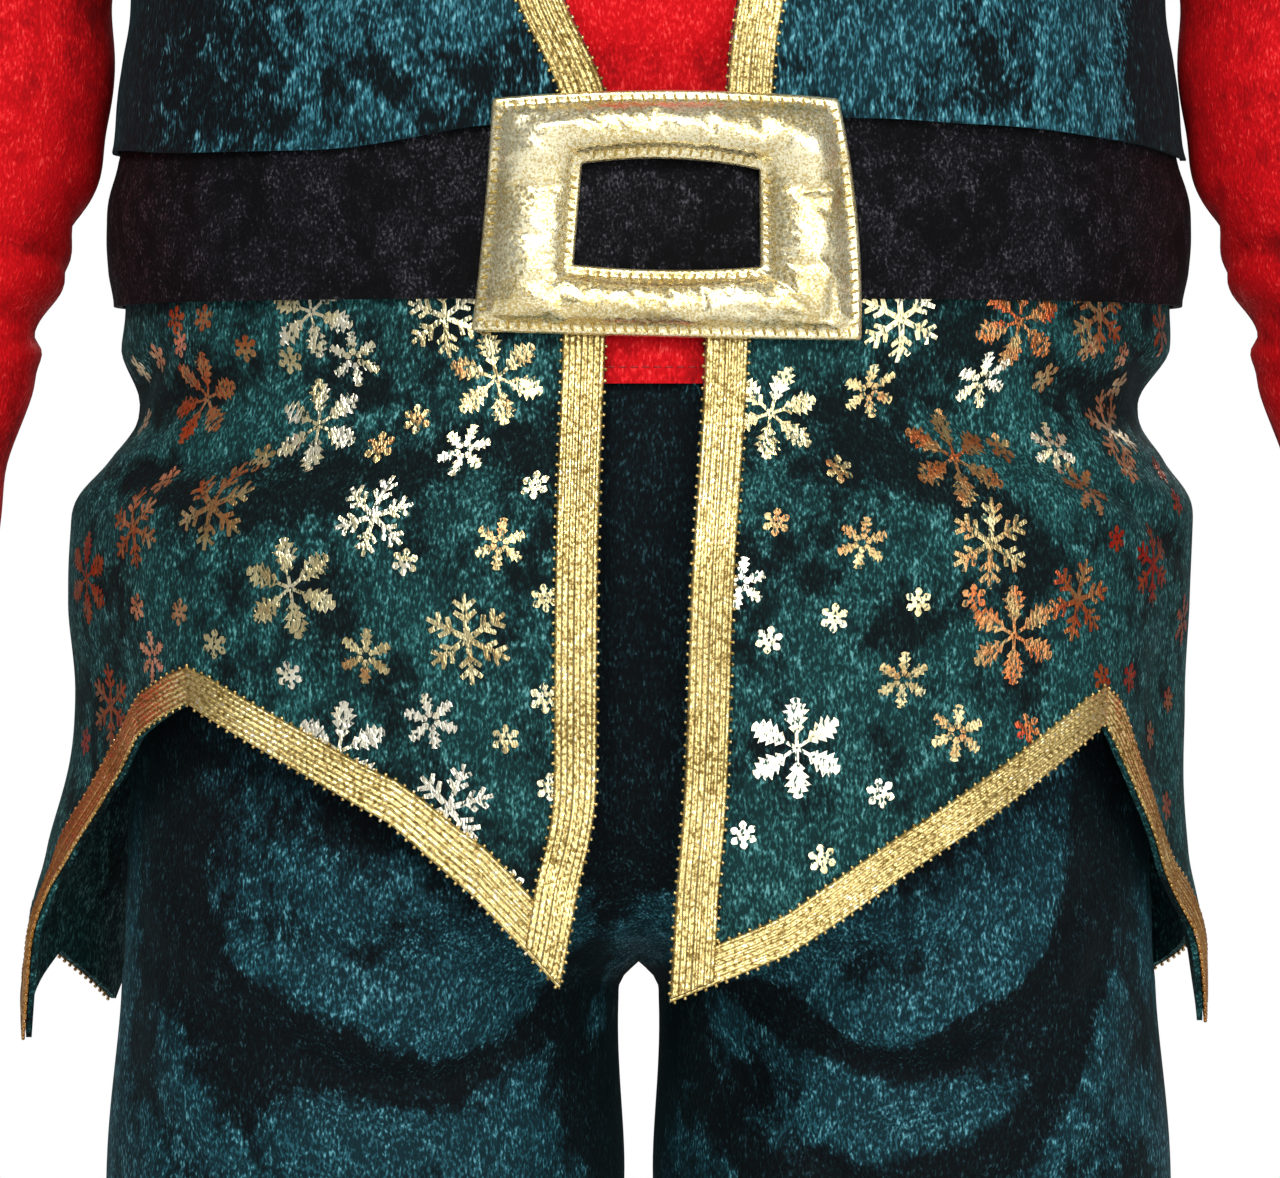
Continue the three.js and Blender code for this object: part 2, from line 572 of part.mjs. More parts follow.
// Turns round a closed ring, in degrees
const turns = (count, start = 0) => Array.from({ length: count }, (_, i) => start + i * 360 / count)
const BELT_COLUMNS = 44
const beltTurns = turns(BELT_COLUMNS, -180 + 180 / BELT_COLUMNS)
const beltRows = [BELT_TOP, -172, -178, -190, -200, BELT_BOTTOM]
const bodiceRows = [0, 0.04, 0.1, 0.18, 0.27, 0.37, 0.5, 0.6, 0.7, 0.8, 0.9, 0.96, 1]
const neckColumn = Math.asin(NECK_HALF / SHOULDER_HALF) / (90 * RAD)
const halfColumns = [0, neckColumn / 2, neckColumn, 0.41, 0.51, 0.61, 0.71, 0.81, 0.91, 1]
const backColumns = [...halfColumns.slice(1).map(u => -u).reverse(), ...halfColumns]
const frontColumns = [0, 0.5, 1, 1.14, 1.28, 1.41, 1.53, 1.65, 1.77, 1.89, 2]
const skirtRows = [0, 1, 1.14, 1.27, 1.39, 1.51, 1.62, 1.72, 1.8, 1.87, 1.94, 2]

const costume = new THREE.Group()
costume.add(wall('insert_front', RED, steps(6), steps(20), insert, INSERT_WALL))
costume.add(wall('bodice_back', GREEN, backColumns, bodiceRows, bodiceBack, CLOTH))
costume.add(wall('neck_trim_back', GOLD, steps(20), [0, 0.5, 1], backNeckBraid, BRAID))
costume.add(wall('belt', BLACK, beltTurns, beltRows, belt, BELT_WALL, true))
costume.add(buckle())
costume.add(wall('peplum_back', GREEN, placesOf(HEM_BACK, 8), skirtRows, skirtBack(), CLOTH))
const backBraid = skirtBack(SEAM + BRAID)
costume.add(wall('hem_trim_back', GOLD, placesOf(HEM_BACK, 8), [0, 1], backBraid, BRAID))
for (const [side, label, hem] of [[-1, 'left', HEM_LEFT], [1, 'right', HEM_RIGHT]]) {
  const spread = SLEEVE_SPREAD[label]
  const braidEdge = hem[0][0] + BRAID_TURN
  const places = [hem[0][0], ...placesOf([[braidEdge], ...hem.slice(1)], 8)]
  const openingPlaces = places.slice(0, 2)
  const add = (name, material, us, vs, point, thickness, around) =>
    costume.add(wall(`${name}_${label}`, material, us, vs, point, thickness, around))
  add('bodice_front', GREEN, frontColumns, bodiceRows, bodiceFront(side), CLOTH)
  add('sleeve', RED, turns(16), sleeveRows, sleeve(side, spread), CLOTH, true)
  add('neck_trim', GOLD, [0, 0.5, 1], bodiceRows, neckBraid(side), BRAID)
  add('peplum_front', GREEN, places, skirtRows, skirtFront(side, hem), CLOTH)
  add('opening_trim', GOLD, openingPlaces, skirtRows.slice(1), openingBraid(side, hem), BRAID)
  add('hem_trim', GOLD, places, [0, 1], skirtFront(side, hem, SEAM + BRAID), BRAID)
  add('trouser_front', BLUE, steps(10), legRows, trouserPanel(side, -1), CLOTH)
  add('trouser_back', BLUE, steps(8), legRows, trouserPanel(side, 1), CLOTH)
}

export default costume
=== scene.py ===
"""The looks of a baby's elf costume: crushed velvet, gold braid, foil snowflakes and a padded buckle.

Every piece of cloth is a thin shell on the form of its solid, from the same sections, in millimetres, with
its creases, hems and stitches. Left and right are as seen from the front, which faces -Y.
"""
import math

import bpy
import numpy as np
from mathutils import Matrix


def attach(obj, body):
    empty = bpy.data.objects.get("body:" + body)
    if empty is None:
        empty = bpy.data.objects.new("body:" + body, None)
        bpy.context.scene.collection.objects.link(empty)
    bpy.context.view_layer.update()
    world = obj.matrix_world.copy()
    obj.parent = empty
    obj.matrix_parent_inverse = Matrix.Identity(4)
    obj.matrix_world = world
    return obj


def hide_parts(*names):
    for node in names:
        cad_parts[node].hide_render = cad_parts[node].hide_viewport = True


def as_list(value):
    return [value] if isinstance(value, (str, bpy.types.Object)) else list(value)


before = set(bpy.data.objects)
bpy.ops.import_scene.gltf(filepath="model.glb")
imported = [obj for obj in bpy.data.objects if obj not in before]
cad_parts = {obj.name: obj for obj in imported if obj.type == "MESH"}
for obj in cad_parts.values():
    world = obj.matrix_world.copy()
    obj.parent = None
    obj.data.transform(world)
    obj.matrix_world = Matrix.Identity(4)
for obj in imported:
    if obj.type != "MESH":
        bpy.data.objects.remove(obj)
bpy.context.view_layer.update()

MM = 0.001
SEED = 12

# Sizes of the garment
CLOTH = 1.2                # wall of a velvet shell
SQUARE = 2.3               # roundness of a body section, 2 is an ellipse
LEG_SQUARE = 2.15
SHOULDER_ROUND = 45
NECK_HALF = 45
SHOULDER_HALF = 98
NECK_Z = -2
SHOULDER_Z = -24
UNDERARM_Z = -98
BACK_NECK_DROP = 8
BELT_TOP = -166.2
BELT_BOTTOM = -207.5
INSERT_TOP = -36
INSERT_BOTTOM = -225
INSERT_MARGIN = 7
INSERT_LEAVES = -142       # height where the insert leaves the bodice, to pass behind the belt
INSERT_BEHIND = 2.3        # how far it lies behind the bodice above that
INSERT_SCOOP = 16          # how much higher its upper edge stands at the sides
PEPLUM_TOP = -199
NECK_BRAID_WIDTH = 9.3
OPENING_BRAID_WIDTH = 8.7
HEM_BRAID_WIDTH = 7.6
BRAID_TURN = 4.2
TROUSER_TOP = -186
TROUSER_HEM = -628
TROUSER_CENTRE = -2
WAIST_Z = -226             # folds of the trousers start below this height
BUCKLE_CROWN = 6.4
FOIL_LIFT = 0.12           # how far the foil print stands off the pile
DEGREE = 1.7               # millimetres round the skirt or the belt for one degree
SLEEVE_DEGREE = 0.56       # and round a sleeve
SLEEVE_LONG = 330
PROMINENCE_REACH = 7.0     # how far round a point its surface is averaged

# Body sections, downwards: lean to the side, half width, front depth and back depth
BODICE = [
    (0, 0, 99, 44, 42), (-24, 0, 100, 50, 50), (-60, 0, 106, 63, 60), (-98, 0, 110, 72, 67),
    (-125, 0, 109.6, 77, 70.5), (-142, 0, 109.8, 79.6, 72.4), (-156, 0, 111.6, 80.8, 73.6),
    (-165, 0, 112.8, 80.4, 74), (-172, 0, 113.3, 80.5, 74.4), (-178, 0, 114.7, 81.3, 75),
]
BELT = [
    (-164, 0, 109.4, 77.2, 71), (-172, 0, 111.2, 78.4, 72), (-178, 0, 112.6, 79.2, 72.6),
    (-190, 0, 115, 80, 73.5), (-200, 0, 114.5, 80, 74), (-207.5, 0, 113.4, 79.6, 74),
    (-220, 0, 113.4, 79.6, 74),
]
INSERT = [
    (0, 0, 97, 42, 40), (-24, 0, 98, 48, 48), (-60, 0, 104, 61, 58), (-98, 0, 108, 70, 66),
    (-125, 0, 110, 75, 70), (-142, 0, 110.6, 77.4, 72), (-152, 0, 110.6, 77, 72),
    (-160, 0, 107.5, 74.8, 70), (-166, 0, 107, 74.8, 70), (-178, 0, 110, 76.6, 70),
    (-190, 0, 111, 76.6, 70), (-197, 0, 111, 75.8, 70), (-207, 0, 110.4, 75.4, 70),
    (-216, 0, 110, 76, 70), (-226, 0, 107, 76.6, 70),
]
PEPLUM = [
    (-199, 0, 111.8, 77.6, 71.6), (-207.5, -0.1, 110.8, 77.2, 71.4), (-216, -0.3, 111.2, 77.8, 73),
    (-228, -1.9, 106, 79.5, 76), (-240, -2.3, 111.7, 82.5, 80), (-253, -3.3, 119, 86.5, 85),
    (-270, -3.6, 118.8, 89, 88), (-291, -3.3, 117, 90, 90), (-323, -5.2, 120.5, 92, 93),
    (-345, -6.4, 124.5, 94, 96), (-364, -6.8, 124.5, 96, 98),
]
TROUSERS = [
    # z, centre of the leg, half width, front depth, back depth
    (-186, 0, 106.5, 74.2, 68.6), (-200, 0, 106.5, 73.6, 68.4), (-207, 0, 106.3, 73.2, 68.4),
    (-216, 0, 105.5, 74, 70), (-228, 0, 101, 75, 72), (-250, 0, 104, 77, 78),
    (-285, 2, 105, 78, 84), (-310, 12, 96, 78, 84), (-326, 28, 80.5, 76, 82),
    (-338, 44, 65, 73, 79), (-346, 54, 55.2, 70, 76), (-353, 57, 52.8, 68, 74),
    (-392, 58, 55, 65, 68), (-450, 59, 54.5, 60, 62), (-540, 60, 50, 54, 55),
    (-600, 60.5, 45, 49, 50), (-628, 61, 43, 46, 47),
]
NECK_OPENING = [
    # z, left, right
    (-2, -45, 45), (-30, -44, 42.5), (-60, -39.5, 36.5), (-100, -31, 27.5), (-146, -17.2, 18.4),
    (-165, -8.9, 16.2), (-178, -5.5, 15.5),
]
SKIRT_OPENING = [
    (-199, -8.6, 12), (-216, -8.9, 11.7), (-270, -10.4, 8.6), (-303, -10.6, 7.6),
    (-330, -14.5, 5.6), (-352, -18.6, 4.3),
]
BODICE_HEM = [
    # x, z
    (-113, -174.8), (-95, -176.5), (-72, -176.6), (-33, -171.8), (0, -170.4), (39, -170.3),
    (64, -171.1), (97, -173.6), (113, -176.4),
]
BODICE_BACK_HEM = -175
HEM_AT_OPENING = 10        # where the bodice's hem is read for its opening
HEM_AT_SIDE = 113          # and for its side seam
ARMHOLE = [(-24, 98), (-36, 95), (-60, 93.4), (-80, 98.5), (-92, 106), (-98, 110)]
HEM_LEFT = [
    # turn from the front centre in degrees, z
    (6, -349.3), (16, -330.5), (26.3, -315.6), (51.3, -291), (62, -298), (71, -310), (81, -330),
    (90, -362.6),
]
HEM_RIGHT = [
    (2, -352), (13.5, -342.3), (25.5, -327.3), (53.5, -295), (62.5, -311.8), (72, -327), (81, -339),
    (90, -359),
]
HEM_BACK = [
    (-270, -359), (-256, -342), (-243, -352), (-212, -298), (-180, -350), (-148, -296), (-116, -356),
    (-103, -345), (-90, -362.6),
]
SLEEVE = [
    # inner x, inner z, outer x, outer z, half depth, y of the middle
    (112.6, -104, 126, -38, 35, 0), (111.8, -117, 147, -60, 34.5, 0),
    (111.3, -133, 163, -93, 33.5, 0), (112, -151, 173, -127, 33, 0),
    (114.4, -171, 182, -158, 33, 0), (117.6, -187, 189, -183, 33.5, 0),
    (123, -203, 196, -208, 33, -1), (127, -217, 198, -226, 31.5, -2),
    (133, -238, 201, -250, 31, -5), (139, -266, 203, -277, 30, -9),
    (147, -296, 206, -305, 28, -14), (154, -322, 209, -331, 26, -18),
    (158, -338, 211, -347, 24.5, -21),
]
SLEEVE_SPREAD = {-1: 0.8, 1: 0.0}
SLEEVE_FOLDS = [
    # way along 0 to 1, way along at the far end, turn, half turn, depth, half width
    (0.16, 0.22, 20, 90, 1.6, 0.035), (0.3, 0.26, 180, 80, 1.8, 0.03), (0.4, 0.44, 0, 90, 1.8, 0.03),
    (0.5, 0.46, 190, 90, 2.4, 0.03), (0.56, 0.6, 170, 100, 3.4, 0.028), (0.63, 0.66, 10, 80, 2, 0.03),
    (0.72, 0.68, 180, 80, 1.8, 0.03), (0.84, 0.86, 90, 90, 1.4, 0.03),
]
SKIRT_FOLDS = [
    # turn at the waist, turn at the hem, z where it starts, depth, half width in degrees
    (-20, -24, -240, -1.6, 9), (-44, -52, -215, 2.6, 10), (-66, -72, -225, -3, 8),
    (-78, -96, -230, 2.4, 7), (-112, -112, -220, -3.6, 9), (-132, -133, -215, 3.2, 9),
    (-152, -154, -220, -3, 9), (-172, -172, -220, 3, 9), (168, 167, -220, -3, 9),
    (149, 148, -215, 3.4, 9), (128, 127, -220, -3.4, 9), (108, 108, -225, 2.6, 8),
    (70, 76, -218, -3, 8), (50, 57, -215, 2.4, 9), (26, 30, -240, -1.8, 9),
]
LEG_FOLDS = [
    # z at the inseam, z at the side, sag at the middle, depth, half width
    (-318, -300, 34, -2.6, 7), (-352, -318, 36, -3.6, 7), (-388, -344, 40, -3.2, 8),
    (-428, -384, 26, -2.4, 9), (-474, -452, 16, -1.8, 9), (-566, -556, 8, -2, 8),
    (-600, -594, 8, -2.2, 7),
]
LEG_BACK_FOLDS = [
    (-330, -306, 22, -3, 8), (-372, -340, 26, -3, 8), (-430, -410, 18, -2.2, 9),
    (-480, -474, 10, -1.6, 9), (-568, -560, 8, -2, 8), (-602, -596, 6, -2.2, 7),
]
LEG_PLEATS = [
    # way across 0 to 1, top z, bottom z, depth, half width
    (0.86, -250, -420, -3.2, 0.05), (0.3, -225, -300, -1.8, 0.05),
]
BUCKLE = [
    # outer x, outer z, inner x, inner z, bow of the outer side that follows, bow of the inner side
    (-32.1, -166.4, -13.6, -180, 1.6, 1.6), (39.2, -166.4, 22.8, -181.2, 1.6, 0),
    (43.9, -216.2, 23, -201, 0.3, 0.9), (-36.4, -214.3, -15.3, -200.6, -0.4, 0),
]


# Small sums

def mix(a, b, t):
    return a + (b - a) * t


def clamp(t, low=0.0, high=1.0):
    return np.clip(t, low, high)


def ease(t):
    t = clamp(t)
    return t * t * (3 - 2 * t)


def bump(t):
    return np.exp(-t * t)


def sine(degrees):
    return np.sin(np.radians(degrees))


def apart(a, b):
    """The angle from b to a, from -180 to 180 degrees."""
    return (a - b + 540) % 360 - 180


def read(table, place, column):
    """A column of a table at a place, on a smooth curve that never overshoots its rows."""
    rows = np.array(table, float)
    down = -1.0 if rows[0, 0] > rows[1, 0] else 1.0
    keys = rows[:, 0] * down
    values = rows[:, column]
    slopes = np.diff(values) / np.diff(keys)
    product = slopes[:-1] * slopes[1:]
    total = np.where(product > 0, slopes[:-1] + slopes[1:], 1)
    tangents = np.concatenate([slopes[:1], np.where(product > 0, 2 * product / total, 0), slopes[-1:]])
    at = np.clip(np.asarray(place, float) * down, keys[0], keys[-1])
    i = np.clip(np.searchsorted(keys, at, side="right") - 1, 0, len(keys) - 2)
    width = keys[i + 1] - keys[i]
    t = (at - keys[i]) / width
    start = values[i] + tangents[i] * width * t
    end = values[i + 1] - tangents[i + 1] * width * (1 - t)
    return mix(start, end, ease(t))


def read_sharp(table, place):
    """The second column of a table, whose corners stay sharp."""
    rows = np.array(table, float)
    return np.interp(place, rows[:, 0], rows[:, 1])


def as_points(parts):
    """Points from arrays of their x, y and z."""
    return np.stack(np.broadcast_arrays(*parts), axis=-1)


def ripples(across, up, size, seed):
    """An even, seeded unevenness from -1 to 1, about size long, for cloth that is never quite smooth."""
    random = np.random.RandomState(seed)
    out = np.zeros(np.broadcast(across, up).shape)
    for _ in range(7):
        angle = random.uniform(0, math.pi)
        long = size * random.uniform(0.7, 1.8)
        turn = random.uniform(0, 2 * math.pi)
        wander = np.sin(up / (1.7 * long) * math.pi + turn * 2) * 0.8
        out += np.sin((across * math.cos(angle) + up * math.sin(angle)) / long * math.pi + turn + wander)
    return out / 4


def creases(across, up, table):
    """How far the cloth moves out for a table of creases, each an arc with soft sides and fading ends."""
    out = np.zeros(np.broadcast(across, up).shape)
    for x0, z0, x1, z1, bow, depth, width in table:
        long = math.hypot(x1 - x0, z1 - z0)
        ux, uz = (x1 - x0) / long, (z1 - z0) / long
        along = ((across - x0) * ux + (up - z0) * uz) / long
        inside = clamp(along)
        off = (up - z0) * ux - (across - x0) * uz - 4 * bow * inside * (1 - inside)
        taper = np.sqrt(clamp(np.sin(math.pi * inside)))
        out += depth * taper * (bump(off / width) - 0.3 * bump(off / (2.3 * width)))
    return out


def in_millimetres(table, around, along=1):
    """A table of creases whose turns and ways along are changed to millimetres."""
    return [(a * around, b * along, c * around, d * along, *rest) for a, b, c, d, *rest in table]


# Forms of the garment

def on_body(table, x, z, face, offset):
    """A point of a body section. x is on the section itself, and offset moves the point out."""
    centre = read(table, z, 1)
    side = read(table, z, 2)
    fraction = (x - centre) / side
    depth = np.where(face < 0, read(table, z, 3), read(table, z, 4)) + offset
    return centre + fraction * (side + offset), face * depth * roundness(fraction)


def roundness(fraction, power=SQUARE):
    return clamp(1 - np.abs(fraction) ** power) ** (1 / power)


def own_side(y, face):
    """Keeps a depth on the front, where face is -1, or on the back."""
    return face * np.maximum(face * y, 0)


def shoulder_line(x):
    return mix(NECK_Z, SHOULDER_Z, (np.abs(x) - NECK_HALF) / (SHOULDER_HALF - NECK_HALF))


def back_top(x):
    dip = NECK_Z - BACK_NECK_DROP * (1 - (x / NECK_HALF) ** 2)
    return np.where(np.abs(x) > NECK_HALF, shoulder_line(x), dip)


def on_chest(table, x, z, face, offset):
    """A point of the chest or back, which rounds over into the shoulder seam."""
    drop = clamp((shoulder_line(x) - z) / SHOULDER_ROUND)
    lean = np.sqrt(1 - (1 - drop) ** 2)
    across, y = on_body(table, x, z, face, offset)
    return across, own_side(y * lean, face), z + offset * (1 - drop)


def bodice_edge(z):
    return np.where(z > UNDERARM_Z, read(ARMHOLE, z, 1), read(BODICE, z, 2))


def sideways(u):
    return sine(u * 90)


def bodice_front(side, relief=lambda x, z: 0.0):
    """A front of the bodice: u is 0 at the neck opening, 1 at the far edge of its braid, 2 at the side."""
    column = 1 if side < 0 else 2

    def point(u, v, offset):
        opening_z = mix(read(BODICE_HEM, side * HEM_AT_OPENING, 1), NECK_Z, v)
        opening_x = read(NECK_OPENING, opening_z, column)
        edge_x = side * bodice_edge(mix(read(BODICE_HEM, side * HEM_AT_SIDE, 1), SHOULDER_Z, v))
        braid_x = opening_x + side * NECK_BRAID_WIDTH
        x = np.where(u < 1, mix(opening_x, braid_x, u), mix(braid_x, edge_x, sideways(u - 1)))
        top = mix(NECK_Z, SHOULDER_Z, (x - opening_x) / (edge_x - opening_x))
        z = mix(read(BODICE_HEM, x, 1), top, v)
        return on_chest(BODICE, x, z, -1, offset + relief(x, z))
    return point


def bodice_back(u, v, offset):
    edge_x = bodice_edge(mix(BODICE_BACK_HEM, SHOULDER_Z, v))
    x = np.sign(u) * sideways(np.abs(u)) * edge_x
    z = mix(BODICE_BACK_HEM, back_top(x), v)
    return on_chest(BODICE, x, z, 1, offset + bodice_relief(x, z, 1))


def turn_of(x, z):
    return np.degrees(np.arcsin(clamp((x - read(PEPLUM, z, 1)) / read(PEPLUM, z, 2), -1, 1)))


def skirt_wave(turn, z):
    out = np.zeros(np.broadcast(turn, z).shape)
    for above, below, start, deep, width in SKIRT_FOLDS:
        down = clamp((start - z) / 120)
        out += deep * ease(down * 1.2) * bump(apart(turn, mix(above, below, down)) / width)
    return out


def on_skirt(turn, z, offset):
    """A point of the skirt by its turn from the front centre, its height and its offset."""
    out = offset + skirt_wave(turn, z) + skirt_relief(turn, z)
    face = np.where(np.abs(turn) <= 90, -1, 1)
    fraction = sine(turn)
    x = read(PEPLUM, z, 1) + fraction * (read(PEPLUM, z, 2) + out)
    depth = np.where(face < 0, read(PEPLUM, z, 3), read(PEPLUM, z, 4)) + out
    return x, own_side(face * depth * roundness(fraction), face), z


def front_turn(side, table, place, z):
    """The turn of a front panel's column: the edges of the opening's braid, then on to the side seam."""
    opening = read(SKIRT_OPENING, z, 1 if side < 0 else 2)
    edge = turn_of(opening, z)
    braid = turn_of(opening + side * OPENING_BRAID_WIDTH, z)
    first = table[0][0]
    second = first + BRAID_TURN
    beyond = mix(braid, side * 90, (place - second) / (90 - second))
    return np.where(place < second, mix(edge, braid, (place - first) / BRAID_TURN), beyond)


def braid_height(table, place):
    """How tall the hem braid stands where the hem slopes."""
    step = 3
    before = read_sharp(table, np.maximum(table[0][0], place - step))
    after = read_sharp(table, np.minimum(table[-1][0], place + step))
    rise = np.abs(after - before) / (2 * math.radians(step) * 110)
    return HEM_BRAID_WIDTH * np.hypot(1, np.minimum(rise, 1.1))


def skirt_height(table, place, row):
    """The height of a row: from 0 to 1 up the hem braid, and from 1 to 2 on to the belt."""
    low = read_sharp(table, place)
    braid = low + braid_height(table, place)
    return np.where(row < 1, mix(low, braid, row), mix(braid, PEPLUM_TOP, row - 1))


def skirt_front(side, table):
    def point(place, row, offset):
        z = skirt_height(table, place, row)
        return on_skirt(front_turn(side, table, place, z), z, offset)
    return point


def skirt_back(turn, row, offset):
    return on_skirt(turn, skirt_height(HEM_BACK, turn, row), offset)


# Creases that the photograph shows, and like ones where it doesn't: two ends, bow, depth and width
BODICE_CREASES = [
    # x, z, x, z, bow, depth, half width
    (-108, -150, -70, -172, -3, -1.2, 3.5), (-60, -146, -30, -168, 3, -0.9, 4),
    (-100, -120, -50, -150, 6, -1.2, 6), (-30, -100, -70, -140, 5, -1.0, 6),
    (44, -150, 90, -168, -3, -1.0, 4), (36, -112, 80, -140, 6, -1.2, 6), (104, -128, 84, -168, 3, -1.4, 4),
    (60, -70, 96, -110, -6, -1.3, 6), (-62, -66, -98, -108, 6, -1.4, 6), (-52, -30, -70, -80, 4, -0.9, 6),
    (54, -34, 66, -84, -4, -0.9, 6),
]
SKIRT_CREASES = [
    # turn, z, turn, z, bow, depth, half width
    (-85, -244, -18, -232, 6, 1.8, 7), (-80, -257, -30, -243, 8, -1.4, 5),
    (-66, -226, -40, -236, 2, -1.3, 3.5), (33, -228, 74, -252, -4, -2.4, 3.6),
    (40, -222, 84, -240, -4, 1.4, 5), (58, -246, 84, -262, -2, -1.8, 3.4), (12, -262, 34, -268, -2, -1.1, 3),
    (26, -274, 40, -276, 2, -1.0, 3), (-60, -214, -88, -230, 0, -1.8, 3.4),
    (60, -212, 88, -230, 0, -1.8, 3.4), (-50, -264, -70, -290, 4, -1.0, 6), (50, -262, 66, -290, -4, -1.2, 6),
    (-14, -300, -40, -288, 3, -0.8, 7), (14, -308, 44, -284, 3, -0.8, 7), (100, -226, 150, -240, 4, -1.8, 4),
    (-100, -228, -150, -242, -4, -1.8, 4), (110, -256, 140, -262, -3, 1.4, 5),
    (-120, -262, -160, -254, 3, 1.4, 5), (150, -280, 128, -300, 3, -1.2, 6),
]


LEFT_LEG_CREASES = [
    # x, z, x, z, bow, depth, half width
    (-97, -338, -5, -324, -39, -2.6, 3.4), (-93, -330, -12, -318, -30, 1.7, 8),
    (-94, -347, -10, -336, -42, 1.0, 4), (-99, -292, -97, -348, 0, -3.0, 5),
    (-98, -345, -76, -392, -3, -2.4, 5), (-104, -350, -96, -396, -2, -1.2, 4),
    (-93, -300, -40, -318, -8, -1.3, 4), (-3, -356, -22, -392, 2, -2.4, 3),
    (-5, -344, -16, -372, 2, 1.3, 2.5), (-86, -382, -50, -396, -4, -1.6, 5),
    (-58, -400, -14, -420, -5, -1.4, 6), (-90, -410, -60, -440, -5, -1.3, 7),
    (-20, -430, -56, -452, 4, -1.2, 7), (-94, -470, -50, -486, -4, -1.0, 8),
    (-22, -520, -70, -534, 4, -0.9, 8), (-16, -590, -60, -600, -3, -1.1, 5),
    (-60, -578, -98, -586, -3, -1.1, 5),
]
RIGHT_LEG_CREASES = [
    (13, -344, 93, -322, -34, -2.8, 3.2), (10, -338, 90, -318, -27, 1.7, 7),
    (4, -348, 97, -328, -60, -3.4, 4.6), (8, -344, 96, -326, -46, 1.5, 5), (96, -298, 94, -350, 0, -3.2, 4.4),
    (86, -296, 84, -330, 2, 1.0, 4), (14, -346, 26, -354, -2, -1.8, 2.6), (104, -340, 98, -386, 2, -1.6, 4),
    (88, -386, 60, -404, 3, -1.3, 5), (6, -384, 22, -410, -2, -1.8, 4), (20, -424, 62, -440, -5, -1.4, 6),
    (94, -424, 60, -450, 4, -1.2, 7), (16, -470, 52, -484, -4, -1.0, 8), (96, -510, 50, -528, 4, -0.9, 8),
    (14, -588, 60, -600, -3, -1.1, 5), (58, -576, 98, -584, -3, -1.1, 5),
]
BACK_LEG_CREASES = [
    (6, -330, 94, -306, -26, -2.0, 5), (8, -368, 96, -340, -26, -1.8, 5), (100, -300, 96, -380, 0, -1.6, 5),
    (5, -300, 40, -268, 4, -1.4, 6), (12, -410, 70, -428, -6, -1.2, 7), (92, -450, 50, -470, 4, -1.1, 7),
    (14, -540, 70, -552, -4, -1.0, 8), (14, -592, 60, -602, -3, -1.1, 5),
]


# Lines of painted shade, below nought, and painted highlight, above it: how much, half width, then places x,
# z of a line
# Painted shade down the bodice's sides and in its creases, painted highlight on two of its bulges
BODICE_PAINTED_LIGHT = [
    (-4, 9, (-108, -100), (-107, -180)), (-4, 9, (108, -100), (107, -180)),
    (-1.6, 7, (-66, -158), (-26, -164)), (-1.4, 6, (62, -110), (66, -165)),
    (-1.5, 10, (-34, -120), (-60, -140)), (1.2, 12, (-80, -120), (-70, -150)),
    (1.0, 12, (84, -130), (44, -160)),
]
# Painted shade in the trousers' fold hollows and where the skirt opens over them, painted highlight on their
# bulges
LEG_PAINTED_LIGHT = [
    (-2.4, 4, (-94.7, -338.9), (-86, -351), (-75.6, -357), (-60.3, -364.1), (-45, -369.5), (-26, -361.8),
     (-14.5, -350.3), (-8, -336), (-3.8, -323.7)),
    (-2.6, 8, (-99, -293), (-98, -346.5)), (-2.2, 8, (-85, -364), (-82, -372)),
    (-2.4, 7, (-12, -366), (-6, -392)),
    (-2.2, 3.5, (21.2, -349.7), (35, -359.4), (47.2, -366), (55.4, -364.3), (71.7, -355.4), (83.1, -348),
     (89.7, -326.8)),
    (-2.8, 6, (4, -350), (10, -366), (17.1, -379.8), (26.8, -388.9), (46, -393), (67.6, -386.4),
     (79.8, -375.7), (88.9, -359.4), (93, -335), (95, -306)),
    (-3, 17, (0, -240), (0, -316)), (1.2, 5, (24, -342), (50, -357), (76, -345), (88, -330)),
    (1.0, 4, (-84, -341), (-48, -358), (-20, -348)), (1.2, 7, (40, -374), (62, -372)),
    (1.2, 8, (-60, -380), (-30, -384)), (-1.2, 9, (-80, -300), (-30, -326)),
    (-1.2, 9, (80, -300), (30, -326)), (-2, 8, (100, -390), (98, -430)),
]
# Painted shade in the skirt's creases, painted highlight on its ridges
SKIRT_PAINTED_LIGHT = [
    (-1.6, 5, (33, -228), (52, -243), (74, -252)), (-1.5, 5, (58, -246), (84, -262)),
    (-1.6, 6, (-104, -246), (-86, -254), (-60, -244), (-30, -236)), (-1.2, 5, (-66, -226), (-40, -232)),
    (-1.2, 5, (-20, -236), (-26, -262)), (-1.4, 5, (12, -258), (34, -264)),
    (-1.2, 6, (-70, -268), (-50, -290)), (-1.2, 5, (60, -214), (100, -226)),
    (-1.2, 5, (-60, -216), (-104, -228)), (-1.3, 6, (50, -276), (80, -262)),
    (1.0, 8, (-90, -238), (-40, -228)), (0.9, 9, (20, -290), (50, -290)), (0.9, 9, (-30, -300), (-50, -280)),
    (0.9, 8, (60, -236), (96, -246)),
]


def leg_relief(side, face, x, z):
    """Creases of a trouser panel, fading at its waist and seams."""
    if face > 0:
        table, across = BACK_LEG_CREASES, np.abs(x)
    else:
        table, across = (LEFT_LEG_CREASES if side < 0 else RIGHT_LEG_CREASES), x
    fade = ease((WAIST_Z - z) / 24) * ease((z - TROUSER_HEM) / 14) * ease((108 - np.abs(x)) / 7)
    fade = fade * ease((np.abs(x - TROUSER_CENTRE) - 1) / 6)
    return (creases(across, z, table) + 0.5 * ripples(x, z, 24, SEED + 5 + face)) * fade


